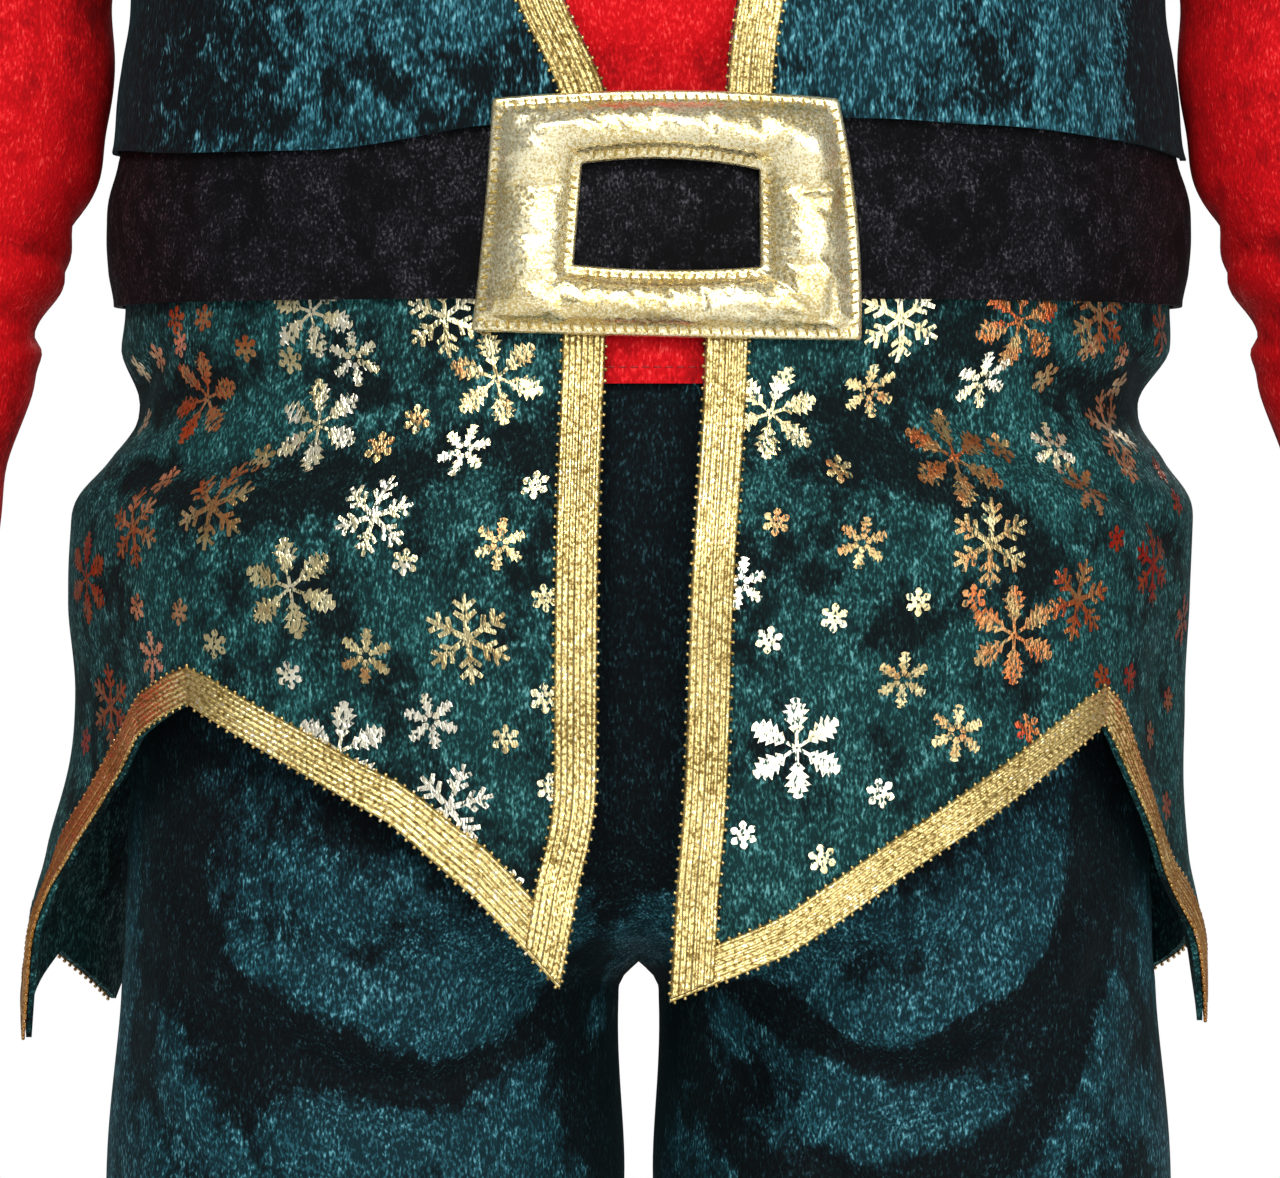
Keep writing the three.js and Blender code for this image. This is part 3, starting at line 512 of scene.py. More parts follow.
def bodice_relief(x, z, face=-1):
    """Creases of the bodice, fading at its seams."""
    fade = ease((110 - np.abs(x)) / 12) * ease((shoulder_line(x) - z) / 25) * ease((z + 174) / 12)
    return (creases(-face * x, z, BODICE_CREASES) + 0.35 * ripples(x, z, 26, SEED)) * fade


def skirt_relief(turn, z):
    """Creases of the skirt."""
    fade = ease((-208 - z) / 10)
    around = np.where(np.asarray(turn) < -180, np.asarray(turn) + 360, turn) * DEGREE
    table = in_millimetres(SKIRT_CREASES, DEGREE)
    return (creases(around, z, table) + 0.35 * ripples(around, z, 24, SEED + 1)) * fade


def in_scene(name, data):
    item = bpy.data.objects.new(name, data)
    bpy.context.collection.objects.link(item)
    return item


def mesh_piece(name, points, faces, material, uv=None, values=None):
    """A joined mesh in metres from points in millimetres."""
    mesh = bpy.data.meshes.new(name)
    points = np.asarray(points, float).reshape(-1, 3) * MM
    mesh.vertices.add(len(points))
    mesh.vertices.foreach_set("co", points.ravel())
    counts = np.array([len(face) for face in faces])
    loops = np.concatenate([np.asarray(face) for face in faces])
    mesh.loops.add(len(loops))
    mesh.loops.foreach_set("vertex_index", loops.astype(np.int32))
    mesh.polygons.add(len(counts))
    starts = np.concatenate([[0], np.cumsum(counts)[:-1]]).astype(np.int32)
    mesh.polygons.foreach_set("loop_start", starts)
    mesh.polygons.foreach_set("use_smooth", np.full(len(counts), True))
    mesh.update(calc_edges=True)
    if uv is not None:
        layer = mesh.uv_layers.new(name="cut")
        layer.data.foreach_set("uv", np.asarray(uv, float)[loops].ravel() * MM)
    for key, numbers in (values or {}).items():
        kept = mesh.attributes.new(key, "FLOAT", "POINT")
        kept.data.foreach_set("value", np.asarray(numbers, float).ravel())
    mesh.validate()
    piece = in_scene(name, mesh)
    piece.data.materials.append(material)
    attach(piece, "root")
    return piece


def grid_faces(nu, nv, start=0, around=False, flip=False):
    """Quads of a grid with nu columns and nv rows."""
    i, j = np.meshgrid(np.arange(nu if around else nu - 1), np.arange(nv - 1))
    i, j = i.ravel(), j.ravel()
    next_i = (i + 1) % nu
    quads = np.stack([j * nu + i, j * nu + next_i, (j + 1) * nu + next_i, (j + 1) * nu + i], axis=1) + start
    return quads[:, ::-1] if flip else quads


def blurred(points, reach, around):
    """Points averaged with their neighbours over a reach in both directions."""
    out = points
    for axis, closed in ((1, around), (0, False)):
        padding = [(0, 0)] * 3
        padding[axis] = (reach, reach)
        style = {"mode": "wrap"} if closed else {"mode": "reflect", "reflect_type": "odd"}
        wide = np.pad(out, padding, **style)
        sums = np.cumsum(wide, axis=axis)
        sums = np.concatenate([np.zeros_like(np.take(sums, [0], axis=axis)), sums], axis=axis)
        count = out.shape[axis]
        late = np.take(sums, np.arange(count) + 2 * reach + 1, axis=axis)
        early = np.take(sums, np.arange(count), axis=axis)
        out = (late - early) / (2 * reach + 1)
    return out


def prominence(points, inner, around):
    """How far each point stands out of the surface around it, in millimetres, about nought on average."""
    step = np.median(np.linalg.norm(np.diff(points, axis=0), axis=-1))
    reach = max(2, min(int(PROMINENCE_REACH / max(step, 0.3)), min(points.shape[:2]) // 2 - 1))
    outward = np.cross(np.gradient(points, axis=1), np.gradient(points, axis=0))
    outward *= np.sign(np.sum(outward * (points - inner), axis=-1, keepdims=True))
    outward /= np.maximum(np.linalg.norm(outward, axis=-1, keepdims=True), 1e-6)
    stands = np.sum((points - blurred(points, reach, around)) * outward, axis=-1)
    return stands - np.median(stands)


def painted_light_lines(x, z, lines):
    """Painted shade, below nought, and painted highlight, above it, along a table of soft lines."""
    out = np.zeros(np.broadcast(x, z).shape)
    for amount, width, *places in lines:
        near = np.full(out.shape, np.inf)
        for (x0, z0), (x1, z1) in zip(places, places[1:]):
            run_x, run_z = x1 - x0, z1 - z0
            t = clamp(((x - x0) * run_x + (z - z0) * run_z) / (run_x ** 2 + run_z ** 2))
            near = np.minimum(near, np.hypot(x - x0 - t * run_x, z - z0 - t * run_z))
        out += amount * bump(near / width)
    return out


def shell(name, node, material, us, vs, point, thickness=CLOTH, around=False, dark=()):
    """A thin closed shell of cloth. point(u, v, offset) gives a place on it. dark is a table of lines of
    painted shade and painted highlight.
    """
    u, v = np.meshgrid(np.asarray(us, float), np.asarray(vs, float))
    outer = as_points(point(u, v, 0.0))
    inner = as_points(point(u, v, -thickness))
    nu, nv = len(us), len(vs)
    size = nu * nv
    middle = outer[nv // 2, nu // 2]
    right = outer[nv // 2, nu // 2 + 1] - middle
    up = outer[nv // 2 + 1, nu // 2] - middle
    inward = inner[nv // 2, nu // 2] - middle
    flip = float(np.dot(np.cross(right, up), inward)) > 0
    faces = [grid_faces(nu, nv, 0, around, flip), grid_faces(nu, nv, size, around, not flip)]
    i = np.arange(nu if around else nu - 1)
    k = (i + 1) % nu
    top = (nv - 1) * nu
    edges = [(k, i), (i + top, k + top)]
    if not around:
        j = np.arange(nv - 1) * nu
        last = j + nu - 1
        edges += [(j, j + nu), (last + nu, last)]
    rims = [np.stack([a, b, b + size, a + size], axis=1) for a, b in edges]
    faces += [rim[:, ::-1] if flip else rim for rim in rims]
    steps_u = np.linalg.norm(np.diff(outer, axis=1, prepend=outer[:, :1]), axis=-1)
    steps_v = np.linalg.norm(np.diff(outer, axis=0, prepend=outer[:1]), axis=-1)
    cut = np.stack([np.cumsum(steps_u, axis=1), np.cumsum(steps_v, axis=0)], axis=-1).reshape(-1, 2)
    # Painted shade in hollows and painted highlight on ridges, with the table's painted lines, kept on each
    # point for the velvet's colour
    painted_fold_light = (prominence(outer, inner, around) + painted_light_lines(outer[..., 0], outer[..., 2], dark)).ravel()
    points = np.concatenate([outer.reshape(-1, 3), inner.reshape(-1, 3)])
    piece = mesh_piece(name, points, np.concatenate(faces), material,
                       uv=np.concatenate([cut, cut]), values={"painted_fold_light": np.concatenate([painted_fold_light, painted_fold_light])})
    piece.data.set_sharp_from_angle(angle=math.radians(50))
    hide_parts(node)
    return piece


# Materials

def new_material(name, **values):
    material = bpy.data.materials.new(name)
    material.use_nodes = True
    shader = material.node_tree.nodes["Principled BSDF"]
    for key, value in values.items():
        shader.inputs[key.replace("_", " ")].default_value = value
    return material, material.node_tree, shader


def add(tree, kind, **values):
    """A new shader node. Each value is a setting of the node where it has that name, or else a socket."""
    node = tree.nodes.new("ShaderNode" + kind)
    for key, value in values.items():
        if hasattr(node, key):
            setattr(node, key, value)
        else:
            node.inputs[key.replace("_", " ")].default_value = value
    return node


def feed(tree, value, socket):
    """Links a value to a socket, or sets it there where it is a number or a colour."""
    if isinstance(value, (int, float)):
        socket.default_value = value
    elif isinstance(value, tuple):
        socket.default_value = (*value, 1)
    else:
        tree.links.new(value, socket)


def own_place(tree):
    return add(tree, "TexCoord").outputs["Object"]


def noise(tree, place, scale, detail, rough=0.55, squash=(1, 1, 1), turn=0.0):
    """Noise in the cloth's own place. squash stretches it, and turn rotates it about the Y axis."""
    mapping = add(tree, "Mapping", Scale=squash, Rotation=(0, turn, 0))
    tree.links.new(place, mapping.inputs["Vector"])
    texture = add(tree, "TexNoise", Scale=scale, Detail=detail, Roughness=rough)
    tree.links.new(mapping.outputs["Vector"], texture.inputs["Vector"])
    return texture.outputs["Fac"]


def ramp(tree, value, low, high):
    """Spreads a value between low and high over 0 to 1."""
    node = add(tree, "MapRange", interpolation_type="SMOOTHSTEP", From_Min=low, From_Max=high)
    tree.links.new(value, node.inputs["Value"])
    return node.outputs["Result"]


def arithmetic(tree, operation, *values):
    node = add(tree, "Math", operation=operation)
    for socket, value in zip(node.inputs, values):
        feed(tree, value, socket)
    return node.outputs["Value"]


def varied(tree, value, pattern, amount):
    """A value that a pattern moves up and down."""
    about = arithmetic(tree, "SUBTRACT", pattern, 0.5)
    return arithmetic(tree, "MULTIPLY_ADD", about, amount, value)


def weighed(tree, a, part_a, b, part_b):
    """The sum of two values, each times its part."""
    return arithmetic(tree, "ADD", arithmetic(tree, "MULTIPLY", a, part_a),
                      arithmetic(tree, "MULTIPLY", b, part_b))


def blend_colour(tree, factor, a, b):
    node = add(tree, "Mix", data_type="RGBA")
    for number, value in ((0, factor), (6, a), (7, b)):
        feed(tree, value, node.inputs[number])
    return node.outputs[2]


def bumped(tree, shader, height, strength, distance):
    node = add(tree, "Bump", Strength=strength, Distance=distance)
    tree.links.new(height, node.inputs["Height"])
    tree.links.new(node.outputs["Normal"], shader.inputs["Normal"])


def roughened(tree, shader, value, dull, glossy):
    """Roughness from dull to glossy as a value goes from 0 to 1."""
    node = add(tree, "MapRange", To_Min=dull, To_Max=glossy)
    tree.links.new(value, node.inputs["Value"])
    tree.links.new(node.outputs["Result"], shader.inputs["Roughness"])


def attribute(tree, name):
    return add(tree, "Attribute", attribute_name=name).outputs["Fac"]


def crushed_velvet(name, deep, base, bright, glint, size, lit=0.5, contrast=0.8, painted_fold_light=0.35, stroke=0.45):
    """Crushed velvet: pile pressed different ways, with patches of fine bright strokes beside deep ones.

    size is how large the patches are in millimetres, lit the share of them that catches the light, and stroke
    how short the strokes are. The strokes follow the crushed pile, and their bright colour is painted sheen,
    with sparks of painted glints. Folds that stand out get painted highlight, and hollows painted shade.
    """
    material, tree, shader = new_material(name, Sheen_Weight=0.05, Sheen_Roughness=0.4,
                                          Sheen_Tint=(*glint, 1), Specular_IOR_Level=0.12)
    place = own_place(tree)
    patches = noise(tree, place, 1000 / size, 3, 0.6, (1, 1, 0.85), 0.4)
    strokes = noise(tree, place, 1750, 1, 0.6, (1, 1, stroke), 0.2)
    blots = noise(tree, place, 240, 2, 0.65, (1, 1, 0.75), 0.15)
    ragged = varied(tree, varied(tree, patches, strokes, 0.34), blots, 0.5)
    # Painted shade and painted highlight from the folds push the pattern towards deep or bright
    ragged = arithmetic(tree, "MULTIPLY_ADD", attribute(tree, "painted_fold_light"), 0.16 * painted_fold_light, ragged)
    middle = 0.5 + 0.16 * (0.5 - lit)
    sheen_pile = ramp(tree, ragged, middle - 0.1 / contrast, middle + 0.1 / contrast)
    body = ramp(tree, ragged, middle - 0.17 / contrast, middle + 0.04 / contrast)
    flecks = varied(tree, strokes, blots, 0.45)

    def flecked(low, high, least):
        shown = arithmetic(tree, "MULTIPLY_ADD", sheen_pile, 1 - least, least)
        return arithmetic(tree, "MULTIPLY", ramp(tree, flecks, low, high), shown)
    # Painted sheen on the bright strokes of the pile, and painted glints on its sparks
    sheen_strokes = flecked(0.44, 0.66, 0.08)
    painted_glints = flecked(0.63, 0.78, 0.15)
    colour = blend_colour(tree, sheen_strokes, blend_colour(tree, body, deep, base), bright)
    colour = blend_colour(tree, arithmetic(tree, "MULTIPLY", painted_glints, 0.65), colour, glint)
    tree.links.new(colour, shader.inputs["Base Color"])
    roughened(tree, shader, sheen_strokes, 0.85, 0.5)
    bumped(tree, shader, strokes, 0.5, 0.0005)
    return material


def metal_thread(name, colour, dark):
    """Gold metallic thread with small changes of tone, painted pale glints, and painted shade where it turns
    to the sides.
    """
    material, tree, shader = new_material(name, Metallic=0.92, Roughness=0.34)
    place = own_place(tree)
    tone = noise(tree, place, 1100, 2, 0.6)
    both = weighed(tree, tone, 0.8, noise(tree, place, 60, 1, 0.5), 0.2)
    gold = blend_colour(tree, ramp(tree, both, 0.36, 0.58), dark, colour)
    # Painted glints: the highest tones go nearly white
    gold = blend_colour(tree, ramp(tree, both, 0.6, 0.7), gold, (1.0, 0.96, 0.8))
    # Painted shade: the gold darkens to bronze where the braid turns to the sides
    turned = arithmetic(tree, "MULTIPLY", attribute(tree, "turned"), 0.75)
    tree.links.new(blend_colour(tree, turned, gold, (0.42, 0.16, 0.03)), shader.inputs["Base Color"])
    roughened(tree, shader, ramp(tree, tone, 0.35, 0.7), 0.5, 0.22)
    bumped(tree, shader, tone, 0.35, 0.0002)
    return material


def foil_lame(name):
    """Pale gold foil cloth with a fine pebbled grain."""
    material, tree, shader = new_material(name, Metallic=0.85, Roughness=0.3)
    place = own_place(tree)
    grain = noise(tree, place, 1900, 1, 0.6)
    weave = noise(tree, place, 1300, 1, 0.6)
    both = weighed(tree, grain, 0.7, noise(tree, place, 60, 2, 0.5), 0.3)
    colour = blend_colour(tree, ramp(tree, both, 0.4, 0.6), (0.66, 0.5, 0.19), (1.0, 0.93, 0.64))
    tree.links.new(colour, shader.inputs["Base Color"])
    roughened(tree, shader, ramp(tree, weave, 0.35, 0.65), 0.42, 0.2)
    height = arithmetic(tree, "ADD", arithmetic(tree, "MULTIPLY", grain, 0.5), weave)
    bumped(tree, shader, height, 0.3, 0.0002)
    return material


def foil_print(name):
    """Printed foil: silver in the middle of the skirt, bronze and red towards its sides, worn by the pile."""
    material, tree, shader = new_material(name, Metallic=0.8, Roughness=0.3)
    colours = add(tree, "ValToRGB")
    stops = [(0.0, (0.95, 0.9, 0.72)), (0.25, (0.8, 0.7, 0.38)), (0.5, (0.42, 0.31, 0.13)),
             (0.75, (0.5, 0.15, 0.04)), (1.0, (0.48, 0.04, 0.02))]
    while len(colours.color_ramp.elements) < len(stops):
        colours.color_ramp.elements.new(0.5)
    for element, (where, colour) in zip(colours.color_ramp.elements, stops):
        element.position = where
        element.color = (*colour, 1)
    place = own_place(tree)
    patches = noise(tree, place, 170, 2, 0.5)
    tree.links.new(varied(tree, attribute(tree, "tint"), patches, 0.9), colours.inputs["Fac"])
    wear = noise(tree, place, 1500, 1, 0.65, (1, 1, 0.5), 0.3)
    colour = blend_colour(tree, ramp(tree, wear, 0.34, 0.46), (0.02, 0.06, 0.05), colours.outputs["Color"])
    tree.links.new(colour, shader.inputs["Base Color"])
    bumped(tree, shader, arithmetic(tree, "ADD", wear, arithmetic(tree, "MULTIPLY", patches, 2)), 0.5, 0.0006)
    return material


def thread_material(name, colour):
    material, tree, shader = new_material(name, Roughness=0.5, Metallic=0.4)
    tone = noise(tree, own_place(tree), 1800, 2, 0.5)
    dark = tuple(0.55 * part for part in colour)
    tree.links.new(blend_colour(tree, ramp(tree, tone, 0.35, 0.6), dark, colour), shader.inputs["Base Color"])
    bumped(tree, shader, tone, 0.5, 0.0002)
    return material


green_velvet = crushed_velvet(
    "green_velvet", (0.001, 0.004, 0.005), (0.004, 0.024, 0.025), (0.016, 0.1, 0.1), (0.15, 0.4, 0.4),
    size=17, lit=0.45, painted_fold_light=0.8)
teal_velvet = crushed_velvet(
    "teal_velvet", (0.001, 0.003, 0.004), (0.004, 0.024, 0.032), (0.026, 0.14, 0.18), (0.2, 0.5, 0.56),
    size=40, contrast=1.3, stroke=0.3)
blue_velvet = crushed_velvet(
    "blue_velvet", (0.0005, 0.002, 0.003), (0.003, 0.018, 0.024), (0.012, 0.08, 0.105), (0.15, 0.42, 0.48),
    size=24, painted_fold_light=1.0)
black_velvet = crushed_velvet(
    "black_velvet", (0.0005, 0.0005, 0.001), (0.002, 0.002, 0.003), (0.009, 0.009, 0.012),
    (0.08, 0.075, 0.09), size=14, lit=0.4, contrast=0.9, stroke=0.7)
red_velvet = crushed_velvet(
    "red_velvet", (0.16, 0.001, 0.002), (0.5, 0.002, 0.005), (0.68, 0.005, 0.009), (0.85, 0.07, 0.06),
    size=34, lit=0.7, contrast=0.5, painted_fold_light=1.4)
gold_braid = metal_thread("gold_braid", (0.78, 0.6, 0.24), (0.2, 0.13, 0.03))
gold_lame = foil_lame("gold_lame")
gold_foil = foil_print("gold_foil")
gold_thread = thread_material("gold_thread", (0.52, 0.36, 0.08))
red_thread = thread_material("red_thread", (0.4, 0.02, 0.02))
dark_thread = thread_material("dark_thread", (0.01, 0.03, 0.04))


# The camera and the light

PIXEL = 0.2125             # millimetres of the middle plane for one pixel of the photograph
PICTURE = (1280, 1178)
VIEW_MIDDLE = (-1.7, -267.35)
CAMERA_AWAY = 2500
SENSOR = 36.0

camera_data = bpy.data.cameras.new("camera")
camera_data.sensor_width = SENSOR
camera_data.lens = SENSOR * CAMERA_AWAY / (PICTURE[0] * PIXEL)
camera_data.clip_start = 0.1
camera_data.clip_end = 60
camera = in_scene("camera", camera_data)
camera.location = (VIEW_MIDDLE[0] * MM, -CAMERA_AWAY * MM, VIEW_MIDDLE[1] * MM)
camera.rotation_euler = (math.radians(90), 0, 0)
bpy.context.scene.camera = camera

LIGHTS = {
    # name: place in metres, size in metres, power in watts
    "key": ((-0.5, -1.8, 1.0), (0.6, 0.6), 28),
    "front": ((0.7, -3.1, 0.35), (2.2, 1.6), 42),
    "side": ((1.5, -1.5, -0.1), (0.5, 1.2), 9),
    "back_light": ((0.3, 1.8, 0.8), (1.4, 1.0), 22),
}
LIGHT_AIM = (0, 0, -0.3)

for name, (place, size, power) in LIGHTS.items():
    light_data = bpy.data.lights.new(name, "AREA")
    light_data.shape = "RECTANGLE"
    light_data.size, light_data.size_y = size
    light_data.energy = power
    light = in_scene(name, light_data)
    light.location = place
    away = np.array(place) - np.array(LIGHT_AIM)
    tilt = math.atan2(math.hypot(away[0], away[1]), away[2])
    light.rotation_euler = (tilt, 0, math.atan2(away[0], -away[1]))

world = bpy.data.worlds.new("studio")
bpy.context.scene.world = world
world.use_nodes = True
world_tree = world.node_tree
background = world_tree.nodes["Background"]
background.inputs["Color"].default_value = (0.95, 0.97, 1, 1)
background.inputs["Strength"].default_value = 0.22
seen = add(world_tree, "Background", Color=(1, 1, 1, 1), Strength=1.0)
rays = add(world_tree, "LightPath")
either = add(world_tree, "MixShader")
for number, source in enumerate((rays.outputs["Is Camera Ray"], background.outputs[0], seen.outputs[0])):
    world_tree.links.new(source, either.inputs[number])
world_tree.links.new(either.outputs[0], world_tree.nodes["World Output"].inputs["Surface"])
bpy.context.scene.view_settings.view_transform = "Standard"

FLOOR_HALF = 1800
FLOOR_BELOW = 6            # gap between the trousers' hems and the floor
floor_material, floor_tree, floor_shader = new_material("floor", Roughness=0.8)
floor_tone = blend_colour(floor_tree, noise(floor_tree, own_place(floor_tree), 3, 2),
                          (0.86, 0.86, 0.86), (0.9, 0.9, 0.9))
floor_tree.links.new(floor_tone, floor_shader.inputs["Base Color"])
floor_mesh = bpy.data.meshes.new("floor")
corner = FLOOR_HALF * MM
floor_z = (TROUSER_HEM - FLOOR_BELOW) * MM
floor_mesh.from_pydata([(x * corner, y * corner, floor_z) for x, y in ((-1, -1), (1, -1), (1, 1), (-1, 1))],
                       [], [(0, 1, 2, 3)])
floor_mesh.materials.append(floor_material)
floor = in_scene("floor", floor_mesh)


# The cloth

STEP = 1.5                 # millimetres between the points of a shell that faces the camera
SIDES = ((-1, "left"), (1, "right"))
FACES = ((-1, "front"), (1, "back"))
HEMS = ((-1, "left", HEM_LEFT), (1, "right", HEM_RIGHT))


def spaced(start, end, length, step=STEP):
    """Even places from start to end along a stretch of this length."""
    return np.linspace(start, end, max(3, int(round(length / step)) + 1))


def corners(table, length, step=STEP):
    """Places along a hem table, with one on each of its corners."""
    keys = [row[0] for row in table]
    total = keys[-1] - keys[0]
    parts = [spaced(a, b, length * (b - a) / total, step)[:-1] for a, b in zip(keys, keys[1:])]
    return np.concatenate([*parts, [keys[-1]]])


def insert(u, v, offset):
    low = mix(INSERT_BOTTOM, INSERT_TOP, v)
    z = low + ease((v - 0.8) / 0.2) * INSERT_SCOOP * (2 * u - 1) ** 2
    left = np.minimum(read(NECK_OPENING, low, 1), read(SKIRT_OPENING, low, 1)) - INSERT_MARGIN
    right = np.maximum(read(NECK_OPENING, low, 2), read(SKIRT_OPENING, low, 2)) + INSERT_MARGIN
    x = mix(left, right, u)
    high = on_chest(BODICE, x, z, -1, offset - INSERT_BEHIND)
    deep = on_chest(INSERT, x, z, -1, offset)
    t = ease((INSERT_LEAVES - z) / 12)
    wave = 0.5 * ripples(x, z, 22, SEED + 3) * ease((-20 - z) / 30)
    x, y, z = [mix(a, b, t) for a, b in zip(high, deep)]
    return x, y - wave, z


def on_belt(turn, z, offset):
    face = np.where(np.abs(turn) <= 90, -1, 1)
    out = offset + belt_relief(turn, z)
    return (*on_body(BELT, sine(turn) * read(BELT, z, 2), z, face, out), z)


BELT_CREASES = [
    # turn, z, turn, z, bow, depth, half width
    (28, -192, 38, -204, 1, -1.0, 2.2), (-62, -176, -40, -190, 2, -0.6, 3),
    (-80, -196, -60, -200, 1, -0.5, 3), (48, -180, 70, -186, -2, -0.7, 3), (70, -196, 86, -190, 1, -0.6, 3),
    (-34, -198, -26, -184, 1, -0.5, 2.6), (104, -186, 136, -192, 2, -0.7, 3),
    (-150, -184, -116, -194, -2, -0.7, 3), (150, -198, 172, -190, 1, -0.6, 3),
]


def belt_relief(turn, z):
    """Creases of the belt, fading where the bodice and the skirt meet it."""
    fade = ease((z - BELT_BOTTOM) / 4) * ease((-176 - z) / 6)
    around = turn * DEGREE
    table = in_millimetres(BELT_CREASES, DEGREE)
    return (creases(around, z, table) + 0.25 * ripples(around, z, 18, SEED + 4)) * fade


def leg_wave(face, way, z):
    folds = LEG_FOLDS if face < 0 else LEG_BACK_FOLDS
    hang = np.sin(math.pi * clamp(way))
    wave = np.zeros(np.broadcast(way, z).shape)
    for inner, outer, sag, deep, width in folds:
        line = mix(inner, outer, way) - sag * hang
        wave += deep * bump((z - line) / width) * hang ** 0.7
    for where, top, bottom, deep, width in LEG_PLEATS:
        wave += deep * bump((way - where) / width) * ease((top - z) / 30) * ease((z - bottom) / 50)
    return wave * ease((WAIST_Z - z) / 20)


def trouser_panel(side, face):
    def point(way, v, offset):
        z = mix(TROUSER_HEM, TROUSER_TOP, v)
        half = read(TROUSERS, z, 2) + 0.8 * offset
        centre = read(TROUSERS, z, 1)
        start = np.arcsin(clamp(-centre / half, -1, 1))
        fraction = np.sin(mix(start, math.pi / 2, way))
        from_centre = np.maximum(0, centre + half * fraction)
        near = np.maximum(0, centre - half)
        share = clamp((from_centre - near) / (centre + half - near))
        over_hips = np.arcsin(share) * 2 / math.pi
        round_leg = np.arcsin(2 * share - 1) / math.pi + 0.5
        wave = leg_wave(face, mix(over_hips, round_leg, ease((-300 - z) / 55)), z)
        x = TROUSER_CENTRE + side * from_centre
        depth = read(TROUSERS, z, 3 if face < 0 else 4) + wave + offset + leg_relief(side, face, x, z)
        return x, own_side(face * depth * roundness(fraction, LEG_SQUARE), face), z
    return point


def sleeve(side):
    """A sleeve: turn is 0 on its outer side, and v is 0 at the armhole and 1 at the cuff."""
    sections = [(i, *values) for i, values in enumerate(SLEEVE)]
    low = (UNDERARM_Z - BODICE_BACK_HEM) / (SHOULDER_Z - BODICE_BACK_HEM)
    front = bodice_front(side)

    def armhole(turn, offset):
        row = mix(low, 1, (1 + np.cos(np.radians(turn))) / 2)
        ahead = front(np.full_like(turn, 2.0), row, offset)
        behind = bodice_back(np.full_like(turn, float(side)), row, offset)
        return [np.where(turn < 180, a, b) for a, b in zip(ahead, behind)]

    def point(turn, v, offset):
        row = np.maximum(0, v * len(SLEEVE) - 1)
        columns = [read(sections, row, column) for column in range(1, 7)]
        inner_x, inner_z, outer_x, outer_z, deep, middle = columns
        crease = np.zeros(np.broadcast(turn, v).shape)
        for near, far, where, wide, amount, width in SLEEVE_FOLDS:
            across = apart(turn, where)
            centre = mix(near, far, (across / wide + 1) / 2)
            crease += amount * bump((v - centre) / width) * bump(across / wide * 1.3)
        fade = ease(v / 0.15)
        inset = -offset + crease * fade - sleeve_relief(turn, v) * fade
        half = np.hypot(outer_x - inner_x, outer_z - inner_z) / 2
        reach = (half - inset) * np.cos(np.radians(turn))
        x = side * ((inner_x + outer_x) / 2 + (outer_x - inner_x) / 2 / half * reach + SLEEVE_SPREAD[side])
        y = middle - (deep - inset) * sine(turn)
        z = (inner_z + outer_z) / 2 + (outer_z - inner_z) / 2 / half * reach
        t = clamp(v * len(SLEEVE))
        return [mix(a, b, t) for a, b in zip(armhole(turn, offset), (x, y, z))]
    return point


SLEEVE_CREASES = [
    # turn, way along, turn, way along, bow, depth, half width
    (150, 0.44, 250, 0.5, 6, -1.2, 4), (100, 0.5, 200, 0.54, -6, -1.4, 4), (120, 0.6, 230, 0.57, 5, -1.4, 4),
    (60, 0.36, 150, 0.42, 6, -1.0, 5), (110, 0.66, 210, 0.64, -5, -1.0, 5), (40, 0.24, 130, 0.32, 6, -1.0, 6),
    (200, 0.3, 300, 0.36, 6, -1.1, 6), (230, 0.66, 320, 0.72, 6, -1.0, 6), (60, 0.76, 150, 0.82, 6, -1.0, 6),
    (250, 0.46, 340, 0.52, 6, -1.0, 5), (20, 0.52, 90, 0.56, 6, -1.1, 5), (180, 0.84, 280, 0.88, 4, -0.9, 5),
]


def sleeve_relief(turn, v):
    """Creases of a sleeve, fading at its cuff."""
    around, along = turn * SLEEVE_DEGREE, v * SLEEVE_LONG
    table = in_millimetres(SLEEVE_CREASES, SLEEVE_DEGREE, SLEEVE_LONG)
    return (creases(around, along, table) + 0.5 * ripples(around, along, 20, SEED + 6)) * ease((1 - v) / 0.04)


def make_top():
    pieces = {}
    pieces["insert"] = shell("insert", "insert_front", red_velvet, spaced(0, 1, 60),
                             spaced(0, 1, 200), insert, 1.0)
    pieces["bodice_back"] = shell("bodice_back_cloth", "bodice_back", teal_velvet,
                                  spaced(-1, 1, 300, 2.6), spaced(0, 1, 170, 2.6), bodice_back)
    for side, label in SIDES:
        columns = np.concatenate([spaced(0, 1, NECK_BRAID_WIDTH)[:-1], spaced(1, 2, 140, 1.7)])
        pieces[f"bodice_{label}"] = shell(
            f"bodice_{label}_cloth", f"bodice_front_{label}", teal_velvet,
            columns, spaced(0, 1, 175, 1.7), bodice_front(side, bodice_relief), dark=BODICE_PAINTED_LIGHT)
        pieces[f"sleeve_{label}"] = shell(
            f"sleeve_{label}_cloth", f"sleeve_{label}", red_velvet,
            np.linspace(0, 360, 96, endpoint=False), spaced(0, 1, SLEEVE_LONG, 2.1), sleeve(side), 1.2, True)
    turns = np.linspace(-180, 180, 300, endpoint=False) + 0.3
    pieces["belt"] = shell("belt_cloth", "belt", black_velvet, turns,
                           spaced(BELT_BOTTOM, BELT_TOP, 43.5, 1.4), on_belt, 1.8, True)
    return pieces


